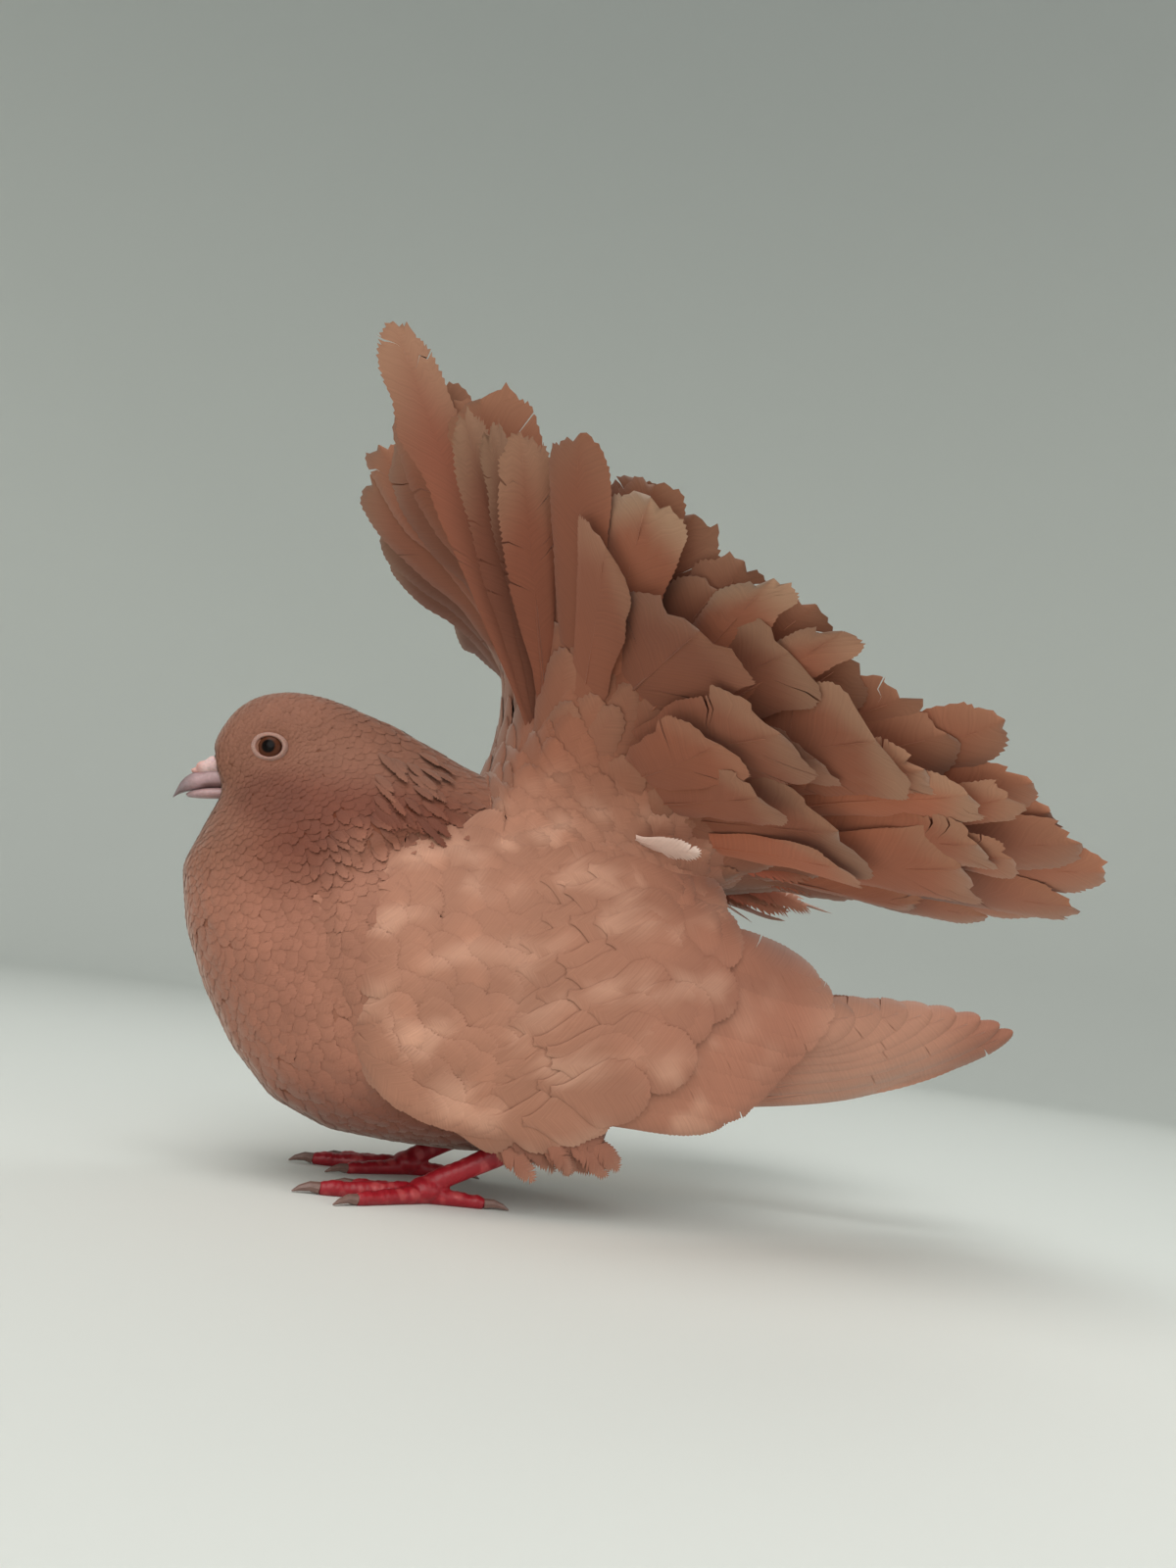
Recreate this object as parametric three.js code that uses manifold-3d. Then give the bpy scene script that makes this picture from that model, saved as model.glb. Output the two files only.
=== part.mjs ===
// Fantail pigeon standing with its tail spread, life size.
// Millimetres, +Z up. The bird faces -Y and its left side is +X. It is drawn about the point on the
// floor between its feet, and the last lines move it to the middle of its own box.
import * as THREE from 'three';
import Module from 'manifold-3d';

const wasm = await Module();
wasm.setup();

// Driving sizes
const GAP = 0.3;                 // clear space between nodes that touch
const PIVOT = [14, 150];         // y, z of the point behind the nape that the body's slices fan round
const HEAD_BASE = { at: [-86, 108.5], up: [0.8, 0.6] };
const NECK_BASE = { at: [-96, 84], up: [0.9, 0.436] };
const EYE = { x: 9.9, y: -72.6, z: 127.4, radius: 5.4, ringInner: 3.7, ringOuter: 6.1 };
const WING_DEPTH = { least: 2.6, most: 9 };
const TAIL = { y: 28, z: 122, tilt: 33, cone: 65, spread: 151, stub: [17, 20, 15] };
const VANE = { thick: 0.7, edge: 0.52, layer: 1.05 };
const SHOULDER = { front: 18, back: 62 };
const FOOT = { x: 24, y: -5, z: 4.2 };

// Body slices round the pivot. Degrees are counted from straight ahead, downwards.
// Each has the back's distance, the breast's or belly's distance, and the half width.
const BODY = [
  [6, 50, 90, 11], [12, 42, 97, 14.5], [20, 34, 105, 19], [25, 32, 114.5, 23], [29, 30, 122.5, 27.5],
  [36, 27, 128.8, 33], [49, 23.5, 137.5, 40], [58, 22, 143.5, 43], [66, 21, 146, 45], [82, 21.5, 139.3, 46],
  [92.5, 24, 138, 45.5], [105, 30, 134, 43.5], [117, 37, 123, 39.5], [126, 43, 110, 34], [137, 53, 94, 26],
  [146, 64, 80, 15], [150, 69, 75, 6],
];

// Head slices from the forehead back: y, top, bottom, half width
const HEAD = [
  [-90.6, 128.5, 121, 4.5], [-89, 133, 116.5, 8], [-86, 139.5, 112, 10.6], [-81, 144.8, 108.5, 12.8],
  [-74, 148.2, 105, 14.4], [-66, 149.7, 102, 15.4], [-58, 149.5, 100, 16.2], [-50, 148, 100, 16.8],
  [-42, 145.8, 104, 16.6], [-35, 143, 112, 14],
];

// The folded wing's outer surface: y, height of its middle, half height, distance from the mid plane
const WING = [
  [-50, 78, 22, 40], [-20, 66, 44, 47.5], [10, 70, 50, 50.5], [40, 70, 46, 49.5], [70, 65, 36, 45.5],
  [100, 61, 24, 38.5], [130, 62, 18, 31], [160, 68, 12, 24], [200, 74, 8, 17],
];

const COLOURS = {
  body: [0x8a5a44, 0.9], wing: [0xa87c60, 0.85], tail: [0x9a6448, 0.85], bill: [0xb79a90, 0.45],
  cere: [0xd9b8ae, 0.7], eye: [0x1a0e0a, 0.08], lid: [0xd8b9ad, 0.6], leg: [0xb02a3a, 0.6], claw: [0x6a5650, 0.5],
};

// Small mathematics
const rad = (degrees) => (degrees * Math.PI) / 180;
const mix = (a, b, t) => a + (b - a) * t;
const clamp = (value, low, high) => Math.min(high, Math.max(low, value));
const ease = (value, low, high) => THREE.MathUtils.smoothstep(value, low, high);
const row = (count, make) => Array.from({ length: count }, (_, i) => make(i));

// A repeatable draw between -1 and 1
let seed = 20261125;
function draw() {
  seed = (seed * 1664525 + 1013904223) % 4294967296;
  return (seed / 4294967296) * 2 - 1;
}

// A smooth curve through a table of rows, whose first column is where each row stands
function follow(table, x, column) {
  const last = table.length - 1;
  const at = clamp(x, table[0][0], table[last][0]);
  let i = 0;
  while (i < last - 1 && table[i + 1][0] < at) i += 1;
  const slope = (k) => {
    const before = table[Math.max(0, k - 1)];
    const after = table[Math.min(last, k + 1)];
    return (after[column] - before[column]) / (after[0] - before[0]);
  };
  const span = table[i + 1][0] - table[i][0];
  const t = (at - table[i][0]) / span;
  const a = table[i][column];
  const b = table[i + 1][column];
  const h = [2 * t ** 3 - 3 * t ** 2 + 1, t ** 3 - 2 * t ** 2 + t, -2 * t ** 3 + 3 * t ** 2, t ** 3 - t ** 2];
  return h[0] * a + h[1] * span * slope(i) + h[2] * b + h[3] * span * slope(i + 1);
}

// A solid from shared points and triangles that all face one way
function solidFrom(points, faces) {
  const corner = (index) => new THREE.Vector3(...points[index]);
  const volume = faces.reduce((sum, [a, b, c]) => sum + corner(a).dot(corner(b).cross(corner(c))), 0);
  const turned = volume < 0 ? faces.map(([a, b, c]) => [a, c, b]) : faces;
  return new wasm.Manifold(new wasm.Mesh({
    numProp: 3,
    vertProperties: Float32Array.from(points.flat()),
    triVerts: Uint32Array.from(turned.flat()),
  }));
}

// A closed form through rings of points. A ring of one point is a tip.
function loft(rings) {
  const points = rings.flat();
  const starts = [];
  let count = 0;
  for (const ring of rings) {
    starts.push(count);
    count += ring.length;
  }
  const faces = [];
  const spot = (i, j) => starts[i] + (rings[i].length > 1 ? j : 0);
  for (let i = 0; i + 1 < rings.length; i += 1) {
    const n = Math.max(rings[i].length, rings[i + 1].length);
    for (let j = 0; j < n; j += 1) {
      const k = (j + 1) % n;
      if (rings[i].length > 1) faces.push([spot(i, j), spot(i, k), spot(i + 1, j)]);
      if (rings[i + 1].length > 1) faces.push([spot(i, k), spot(i + 1, k), spot(i + 1, j)]);
    }
  }
  for (const [end, flip] of [[0, true], [rings.length - 1, false]]) {
    const ring = rings[end];
    if (ring.length > 1) {
      points.push([0, 1, 2].map((axis) => ring.reduce((sum, point) => sum + point[axis], 0) / ring.length));
      for (let j = 0; j < ring.length; j += 1) {
        const [a, b] = [spot(end, j), spot(end, (j + 1) % ring.length)];
        faces.push(flip ? [b, a, count] : [a, b, count]);
      }
      count += 1;
    }
  }
  return solidFrom(points, faces);
}

// A thin plate between two grids of points of one size, split into triangles alike on both faces
function sheet(top, bottom) {
  const [rows, columns] = [top.length, top[0].length];
  const points = [...top.flat(), ...bottom.flat()];
  const at = (i, j, face) => face * rows * columns + i * columns + j;
  const faces = [];
  const wall = (a, b, c, d) => faces.push([a, b, c], [a, c, d]);
  for (let i = 0; i + 1 < rows; i += 1) {
    for (let j = 0; j + 1 < columns; j += 1) {
      wall(at(i, j, 0), at(i + 1, j, 0), at(i + 1, j + 1, 0), at(i, j + 1, 0));
      faces.push([at(i, j, 1), at(i + 1, j + 1, 1), at(i + 1, j, 1)]);
      faces.push([at(i, j, 1), at(i, j + 1, 1), at(i + 1, j + 1, 1)]);
    }
    wall(at(i, 0, 0), at(i, 0, 1), at(i + 1, 0, 1), at(i + 1, 0, 0));
    wall(at(i + 1, columns - 1, 0), at(i + 1, columns - 1, 1), at(i, columns - 1, 1), at(i, columns - 1, 0));
  }
  for (let j = 0; j + 1 < columns; j += 1) {
    wall(at(0, j + 1, 0), at(0, j + 1, 1), at(0, j, 1), at(0, j, 0));
    wall(at(rows - 1, j, 0), at(rows - 1, j, 1), at(rows - 1, j + 1, 1), at(rows - 1, j + 1, 0));
  }
  return solidFrom(points, faces);
}

// An egg of the three radii at a place
function egg(centre, radii, around = 16, along = 10) {
  const ring = (i) => row(i === 0 || i === along ? 1 : around, (j) => {
    const size = i === 0 || i === along ? 0 : Math.sin((Math.PI * i) / along);
    const turn = (2 * Math.PI * j) / around;
    return [centre[0] + radii[0] * size * Math.cos(turn), centre[1] + radii[1] * size * Math.sin(turn),
      centre[2] - radii[2] * Math.cos((Math.PI * i) / along)];
  });
  return loft(row(along + 1, ring));
}

// A limb through stations: place, half width, and half depth where it isn't round
function limb(stations, around = 10) {
  const places = stations.map((station) => new THREE.Vector3(...station[0]));
  return loft(stations.map(([, wide, deep = wide], i) => {
    const ahead = places[Math.min(i + 1, places.length - 1)].clone().sub(places[Math.max(i - 1, 0)]).normalize();
    const side = new THREE.Vector3(1, 0, 0).addScaledVector(ahead, -ahead.x).normalize();
    const lift = new THREE.Vector3().crossVectors(ahead, side);
    return row(around, (j) => {
      const turn = (2 * Math.PI * j) / around;
      const point = places[i].clone().addScaledVector(side, wide * Math.cos(turn));
      return point.addScaledVector(lift, deep * Math.sin(turn)).toArray();
    });
  }));
}

// A ring-shaped solid through sections that close on themselves
function closedRing(sections) {
  const n = sections[0].length;
  const faces = [];
  for (let i = 0; i < sections.length; i += 1) {
    const next = ((i + 1) % sections.length) * n;
    for (let j = 0; j < n; j += 1) {
      const k = (j + 1) % n;
      faces.push([i * n + j, i * n + k, next + j], [i * n + k, next + k, next + j]);
    }
  }
  return solidFrom(sections.flat(), faces);
}

// A large block on one side of a plane that is given in the bird's side view
function halfSpace(base, offset, keepsAbove) {
  const normal = [-base.up[1], base.up[0]];
  const far = keepsAbove ? 400 : -400;
  const corners = [[-400, offset], [400, offset], [400, far], [-400, far]];
  const ring = (x) => corners.map(([along, across]) => [x,
    base.at[0] + base.up[0] * along + normal[0] * across, base.at[1] + base.up[1] * along + normal[1] * across]);
  return loft([ring(-200), ring(200)]);
}

const joined = (solids) => wasm.Manifold.union(solids);
const mirrored = (solid) => solid.mirror([1, 0, 0]);

// The largest closed surface of a solid, without the scraps and hollows that joining leaves
function largest(solid) {
  const pieces = solid.decompose();
  pieces.sort((a, b) => b.volume() - a.volume());
  return pieces[0];
}

const bird = new THREE.Group();
const SHORTEST_EDGE = 0.03;

function addNode(name, solid, finish) {
  const mesh = largest(solid.asOriginal().simplify(SHORTEST_EDGE)).getMesh();
  const geometry = new THREE.BufferGeometry();
  geometry.setAttribute('position', new THREE.BufferAttribute(mesh.vertProperties, 3));
  geometry.setIndex(new THREE.BufferAttribute(mesh.triVerts, 1));
  const [color, roughness] = COLOURS[finish];
  const node = new THREE.Mesh(geometry, new THREE.MeshStandardMaterial({ color, roughness, metalness: 0 }));
  node.name = name;
  bird.add(node);
}

function addPair(name, solid, finish) {
  addNode(`${name}_left`, solid, finish);
  addNode(`${name}_right`, mirrored(solid), finish);
}

// Body and head

function bodySolid(grow) {
  const [slices, around] = [18, 22];
  return loft(row(slices + 1, (i) => {
    const degrees = mix(BODY[0][0] - grow, BODY[BODY.length - 1][0] + grow, i / slices);
    const back = follow(BODY, degrees, 1) - grow;
    const front = follow(BODY, degrees, 2) + grow;
    const wide = follow(BODY, degrees, 3) + grow;
    return row(around, (j) => {
      const turn = (2 * Math.PI * j) / around;
      const reach = mix(back, front, (1 + Math.cos(turn)) / 2);
      const fullness = Math.cos(turn) > 0 ? 0.78 : 0.9;
      const side = wide * Math.sign(Math.sin(turn)) * Math.abs(Math.sin(turn)) ** fullness;
      return [side, PIVOT[0] - reach * Math.cos(rad(degrees)), PIVOT[1] - reach * Math.sin(rad(degrees))];
    });
  }));
}

function headSolid() {
  const places = [0, 0.35, 1, 1.6, 2.2, 3, 3.6, 4.3, 5, 6, 7, 8, 9];
  return loft(places.map((place) => {
    const low = Math.floor(Math.min(place, HEAD.length - 2));
    const y = mix(HEAD[low][0], HEAD[low + 1][0], place - low);
    const [top, bottom, wide] = [1, 2, 3].map((column) => follow(HEAD, y, column));
    return row(22, (j) => {
      const turn = (2 * Math.PI * j) / 22;
      const side = wide * Math.sign(Math.sin(turn)) * Math.abs(Math.sin(turn)) ** 0.85;
      return [side, y, mix(bottom, top, (1 + Math.cos(turn)) / 2)];
    });
  }));
}

// Eyes, bare rings of lids, and the bill

const eyeball = (grow) => egg([EYE.x, EYE.y, EYE.z], [EYE.radius + grow, EYE.radius + grow, EYE.radius + grow], 14, 10);

function lidRing(grow) {
  const section = [[EYE.ringInner - grow, 12.2 - grow], [EYE.ringInner - grow, 14.6], [EYE.ringInner + 1, 15.7 + grow],
    [EYE.ringOuter + grow, 15.1 + grow], [EYE.ringOuter + 0.2 + grow, 12.2 - grow]];
  return closedRing(row(18, (i) => {
    const turn = (2 * Math.PI * i) / 18;
    return section.map(([out, x]) => [x, EYE.y + out * Math.cos(turn) * 1.1, EYE.z + out * Math.sin(turn) * 0.9]);
  }));
}

function billUpper(grow) {
  return limb([
    [[0, -84, 117.3], 4.1 + grow, 3.4 + grow], [[0, -88.5, 116.6], 3.9 + grow, 3.4 + grow],
    [[0, -91.8, 115.2], 3.4 + grow, 3 + grow], [[0, -94.6, 113.5], 2.6 + grow, 2.4 + grow],
    [[0, -96.9, 111.4], 1.7 + grow, 1.6 + grow], [[0, -98.4 - grow, 108.9], 0.4 + grow],
  ], 12);
}

function billLower(grow) {
  return limb([
    [[0, -84, 112.3], 3.6 + grow, 1.7 + grow], [[0, -88, 111.6], 3.3 + grow, 1.7 + grow],
    [[0, -91.5, 110.9], 2.5 + grow, 1.4 + grow], [[0, -94.6 - grow, 110.2], 1.2 + grow, 0.8 + grow],
  ], 10);
}

function cereSolid(grow) {
  const lobe = limb([
    [[1.9, -85.2, 121.2], 2.3 + grow, 2.1 + grow], [[2, -88.2, 121], 2.6 + grow, 2.4 + grow],
    [[1.9, -90.6, 119.4], 2.2 + grow, 1.9 + grow], [[1.6, -92.4 - grow, 117.7], 0.9 + grow, 0.8 + grow],
  ], 9);
  return joined([lobe, mirrored(lobe)]);
}

// A slit under the front of each soft lobe
function nostrils() {
  const slit = limb([[[3.6, -92.2, 116.6], 0.5, 0.4], [[4.1, -90.2, 117.7], 0.9, 0.6], [[4.1, -88, 118.3], 0.4, 0.4]], 8);
  return joined([slit, mirrored(slit)]);
}

// Folded wings

function wingX(y, z) {
  const rise = (z - follow(WING, y, 1)) / follow(WING, y, 2);
  const fall = rise > 0 ? 16 : 13;
  return follow(WING, y, 3) - fall * clamp(Math.abs(rise), 0, 1.3) ** 2.2 * clamp((240 - y) / 240, 0.2, 1);
}

// A plate on the wing's surface between a lower and an upper edge, given as rows of y and z.
// How far its outer and inner faces lie from the surface depends on y and on the nearness of an edge.
function wingPlate(lower, upper, outer, inner, count, across) {
  const curve = (rows) => new THREE.CatmullRomCurve3(rows.map(([y, z]) => new THREE.Vector3(0, y, z)), false, 'centripetal');
  const [low, high] = [curve(lower), curve(upper)];
  const grid = (face) => row(count + 1, (i) => {
    const [a, b] = [low.getPoint(i / count), high.getPoint(i / count)];
    return row(across + 1, (j) => {
      const t = j / across;
      const [y, z] = [mix(a.y, b.y, t), mix(a.z, b.z, t)];
      const fullness = Math.max(0, Math.sin(Math.PI * t)) ** 0.5;
      return [wingX(y, z) + face(y, fullness), y, z];
    });
  });
  return sheet(grid(outer), grid(inner));
}

// The fore part of the wing. It is laid over the body, which gives way to it by its least thickness.
function shieldSolid(grow, depth, cover = 0) {
  const lower = [[-46, 76], [-44, 60], [-36, 43], [-22, 29], [0, 23], [30, 24], [SHOULDER.back, 31]];
  const upper = [[-46, 79], [-44, 92], [-36, 101], [-20, 109], [2, 120], [32, 118], [SHOULDER.back, 104]];
  const wider = (rows, way) => rows.map(([y, z]) => [y < SHOULDER.front ? y - grow : y, z + way * grow]);
  const outer = (y, full) => full * mix(1.2, -0.6, ease(y, SHOULDER.front, SHOULDER.back)) + grow + cover;
  const inner = (y, full) => mix(-1.2, -depth, full) - grow;
  return wingPlate(wider(lower, -1), wider(upper, 1), outer, inner, 10, 6);
}

const STEPS = [0, 0.3, 0.6, 0.86, 1];
const bladeWidth = (t) => Math.min(1, 0.45 + 1.5 * t) * (1 - 0.5 * Math.max(0, (t - 0.75) / 0.25) ** 2);

// One wing feather from its root to its tip. centre gives y and z along it, lift gives how far out
// a point of it lies from the wing's surface.
function wingVane(centre, half, lift, steps = STEPS) {
  const grids = [0.5, -0.5].map((side) => steps.map((t) => {
    const [y, z] = centre(t);
    const [aheadY, aheadZ] = centre(Math.min(1, t + 0.02));
    const [behindY, behindZ] = centre(Math.max(0, t - 0.02));
    const slant = Math.hypot(aheadY - behindY, aheadZ - behindZ);
    const [acrossY, acrossZ] = [-(aheadZ - behindZ) / slant, (aheadY - behindY) / slant];
    return [-1, 0, 1].map((place) => {
      const trim = t === 1 && place !== 0 ? -half * 0.35 : 0;
      const py = y + acrossY * place * half * bladeWidth(t) + trim * acrossZ;
      const pz = z + acrossZ * place * half * bladeWidth(t) - trim * acrossY;
      const thick = place === 0 ? VANE.thick : VANE.edge;
      return [wingX(py, pz) + lift(py, pz) + side * thick, py, pz];
    });
  }));
  return sheet(grids[0], grids[1]);
}

// A tier of feathers whose middles fan between two upright lines. Each overlaps the one below it.
function wingTier({ count, roots, tips, ends, half, base, steps }) {
  const spread = (y) => (y - roots.y) / (tips.y - roots.y);
  const low = (y) => mix(roots.low, tips.low, spread(y));
  const apart = (y) => mix(roots.apart, tips.apart, spread(y));
  return row(count, (i) => {
    const end = follow(ends, i, 1) + draw() * 1.2;
    const centre = (t) => {
      const y = mix(roots.y, end, t);
      return [y, low(y) + i * apart(y)];
    };
    return wingVane(centre, half, (y, z) => base(y) + VANE.layer * (i - (z - low(y)) / apart(y)), steps);
  });
}

const COVERTS = {
  count: 8, half: 9, roots: { y: 16, low: 34, apart: 9.1 }, tips: { y: 76, low: 38, apart: 7.6 },
  ends: [[0, 52], [2, 65], [4, 73], [6, 77], [7, 75]], base: (y) => mix(-0.4, 2.5, ease(y, 14, 48)),
  steps: [0, 0.4, 0.8, 1],
};

const SECONDARIES = {
  count: 8, half: 9, roots: { y: 64, low: 37.5, apart: 8.1 }, tips: { y: 116, low: 41.5, apart: 5.6 },
  ends: [[0, 87], [2, 100], [4, 111], [5, 115], [6, 116.5], [7, 112]], base: () => -1.2,
};

function secondariesSolid() {
  const core = wingPlate([[SHOULDER.back + GAP, 34], [80, 38]], [[SHOULDER.back + GAP, 96], [80, 88]],
    () => 0, () => -2.8, 2, 5);
  return joined([core, ...wingTier(SECONDARIES)]);
}

// Primaries lie on one another as parallel sheets, the innermost on the outside
const PRIMARY_TIPS = [[126, 71], [138, 74], [150, 76], [161, 77], [172, 77.5], [183, 77], [192, 75.5], [199, 73.5]];
const PRIMARY_LAYER = 0.95;

function primariesSolid() {
  const deepest = PRIMARY_LAYER * PRIMARY_TIPS.length;
  const core = wingPlate([[SHOULDER.back + GAP, 42], [84, 44]], [[SHOULDER.back + GAP, 68], [84, 69]],
    () => -4, () => -4 - deepest, 2, 3);
  const vanes = PRIMARY_TIPS.map(([tipY, tipZ], i) => {
    const root = [67, 62 - 2.2 * i];
    const bow = -(1.5 + 0.97 * i);
    const centre = (t) => [mix(root[0], tipY, t), mix(root[1], tipZ, t) + bow * 4 * t * (1 - t)];
    return wingVane(centre, 8.3 - 0.25 * i, () => -4.4 - PRIMARY_LAYER * i);
  });
  return joined([core, ...vanes]);
}

// Tail. Its feathers lie on a wide cone round an axis that leans back. A point is given by its turn
// from the middle feather in degrees, its distance from the root, and its height over the cone.
const axisUp = new THREE.Vector3(0, Math.sin(rad(TAIL.tilt)), Math.cos(rad(TAIL.tilt)));
const axisFront = new THREE.Vector3(0, -Math.cos(rad(TAIL.tilt)), Math.sin(rad(TAIL.tilt)));
const axisSide = new THREE.Vector3(1, 0, 0);

function tailPoint(turn, reach, lift) {
  const cone = rad(TAIL.cone);
  const out = axisFront.clone().multiplyScalar(Math.cos(rad(turn))).addScaledVector(axisSide, Math.sin(rad(turn)));
  const along = axisUp.clone().multiplyScalar(Math.cos(cone)).addScaledVector(out, Math.sin(cone));
  const outward = axisUp.clone().multiplyScalar(-Math.sin(cone)).addScaledVector(out, Math.cos(cone));
  const point = along.multiplyScalar(reach).addScaledVector(outward, lift);
  return point.add(new THREE.Vector3(0, TAIL.y, TAIL.z)).toArray();
}

// Length of the tail's feathers by their turn from the middle one, and one longer narrow feather
const TAIL_LENGTH = [[0, 146], [20, 143], [50, 132], [67, 133], [76, 120], [86, 128], [93, 122], [110, 139], [130, 156], [150, 167]];
const tailLength = (turn) => follow(TAIL_LENGTH, Math.abs(turn), 1);
const STRAY = { turn: 20, length: 166, half: 6 };

// How far the tips curl out of the cone: most in the middle of the bird's right half
const tipCurl = (turn) => 9 * Math.exp(-(((turn + 29) / 13) ** 2));

// A curved plate of the cone between two turns, where the feathers are rooted
function tailCore(from, to, near, far, low, high) {
  const grid = (lift) => row(2, (i) => {
    const reach = mix(near, far, i);
    const clear = (GAP / 2 / (reach * Math.sin(rad(TAIL.cone)))) * (180 / Math.PI);
    return row(7, (j) => tailPoint(mix(from + clear, to - clear, j / 6), reach, lift));
  });
  return sheet(grid(high), grid(low));
}

// One tail feather: rows of distance from the root, half width and height over the cone
function tailVane(turn, apart, rows, bend = 0, curl = 0) {
  const last = rows.length - 1;
  const grids = [0.5, -0.5].map((side) => rows.map(([reach, half, height], i) => (
    [-1, 0, 1].map((place) => {
      const ragged = i === last && place !== 0 ? reach - half * 0.4 : reach;
      const sway = (bend * ((reach - rows[0][0]) / (rows[last][0] - rows[0][0])) ** 2);
      const offset = (place * half) / (reach * Math.sin(rad(TAIL.cone)));
      const at = turn + (offset * 180) / Math.PI + sway;
      const thick = place === 0 ? VANE.thick : VANE.edge;
      const shingle = (VANE.layer * (turn - at)) / apart;
      const curled = curl * Math.max(0, (i - last + 1.5) / 1.5) ** 2;
      return tailPoint(at, ragged, height + shingle + curled + side * thick);
    })
  )));
  return sheet(grids[0], grids[1]);
}

// A quarter of the fan: its long feathers and the tier that covers their lower halves. The feathers
// next to another quarter are left straight, so that they stay clear of it.
const SECTOR_STEP = 0.4;

function tailSector(index) {
  const [flights, covers] = [8, 5];
  const width = (2 * TAIL.spread) / 4;
  const start = -TAIL.spread + index * width;
  const step = SECTOR_STEP * index;
  const over = step + 4.4;
  const pieces = [tailCore(start, start + width, 12, 34, step - 2.4, step + 5)];
  const tier = (count, make) => row(count, (i) => {
    const loose = i === 0 || i === count - 1 ? 0 : 1;
    return make(start + (i + 0.5) * (width / count), width / count, loose);
  });
  pieces.push(...tier(flights, (turn, apart, loose) => {
    const length = tailLength(turn) * (1 + 0.035 * draw());
    const rows = [[27, 1.6, step], [40, 2.8, step], [70, 12.5, step], [mix(70, length, 0.62), 15.5, step], [length, 8.5, step]];
    return tailVane(turn, apart, rows, draw() * 2 * loose, tipCurl(turn) + draw() * 1.5 * loose);
  }));
  pieces.push(...tier(covers, (turn, apart, loose) => {
    const length = tailLength(turn) * (0.64 + 0.06 * draw());
    const rows = [[27, 2.6, over], [42, 5.2, over], [mix(42, length, 0.6), 13.5, over], [length, 8, over]];
    return tailVane(turn, apart, rows, draw() * 3 * loose, 1 + (3.5 + 3 * draw()) * loose);
  }));
  if (STRAY.turn > start && STRAY.turn < start + width) {
    const rows = [[27, 1.6, step], [70, STRAY.half, step], [130, STRAY.half, step + 1.5], [STRAY.length, 2, step + 5]];
    pieces.push(tailVane(STRAY.turn, width / flights, rows));
  }
  return joined(pieces);
}

// The short soft feathers over the root of the tail, round the fleshy stub that carries it all
const tailStub = (grow) => egg([0, TAIL.y - 1, TAIL.z], TAIL.stub.map((radius) => radius + grow), 16, 10);

function tailBase() {
  const [apart, over] = [26, 8.6];
  const covers = row(9, (i) => {
    const rows = [[7, 3, over], [30, 8, over], [46, 12, over], [60 + 3 * draw(), 7, over]];
    return tailVane((i - 4) * apart, apart, rows, draw() * 3);
  });
  return joined([tailStub(0), ...covers]);
}

// The soft feathers behind, between the two outermost tail feathers
function undertail() {
  const [count, apart, below] = [5, 9, -5];
  const first = 180 - (apart * (count - 1)) / 2;
  const covers = row(count, (i) => {
    const length = 88 + 5 * draw();
    const rows = [[30, 2.6, below], [50, 6, below], [mix(50, length, 0.6), 9.5, below], [length, 5, below]];
    return tailVane(first + i * apart, apart, rows, draw() * 2);
  });
  return joined([tailCore(first - 9, 360 - first + 9, 24, 46, -8, 4), ...covers]);
}

// Legs

const HOCK = [25, 15.4, 16.8];

const thigh = () => joined([
  egg([24, 27, 25], [13, 22, 12], 14, 10),
  limb([[[24, 21, 25], 9], [[24.5, 18, 20], 7], [[25, 15, 17], 4.8]], 12),
]);

function tarsus(grow) {
  return limb([
    [[25, 16.6 + grow, 18.2 + grow], 2.4 + grow], [HOCK, 3.8 + grow, 3.6 + grow], [[24.8, 11, 13.8], 3.3 + grow, 3.1 + grow],
    [[24.4, 4, 9.9], 3 + grow, 2.9 + grow], [[24, -1.5, 7 - grow], 3.2 + grow, 3 + grow],
  ], 10);
}

// Toes: turn from straight ahead in degrees, length, half width at the root
const TOES = [[4, 31, 3.1], [-26, 23, 2.7], [32, 25, 2.8], [176, 17, 2.7]];
const CLAWS = ['claw_middle', 'claw_inner', 'claw_outer', 'claw_hind'];

const toePlace = (turn, reach, height) => (
  [FOOT.x + reach * Math.sin(rad(turn)), FOOT.y - reach * Math.cos(rad(turn)), height]);

function toe([turn, length, wide]) {
  return limb([0, 0.24, 0.43, 0.62, 0.81, 1].map((t, i) => {
    const radius = mix(wide, wide * 0.64, t) * (i % 2 === 0 ? 0.94 : 1.06);
    return [toePlace(turn, t * length, radius * 0.8), radius];
  }), 7);
}

function claw([turn, length, wide]) {
  const root = wide * 0.56;
  return limb([
    [toePlace(turn, length + GAP, root), root], [toePlace(turn, length + 3, root * 1.2), root * 0.8],
    [toePlace(turn, length + 5.8, root * 0.8), root * 0.5], [toePlace(turn, length + 7.8, 0.4), 0.2],
  ], 8);
}

function floorSlab() {
  const ring = (z) => [[-300, -400, z], [300, -400, z], [300, 400, z], [-300, 400, z]];
  return loft([ring(-50), ring(0)]);
}

// Putting the bird together

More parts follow.
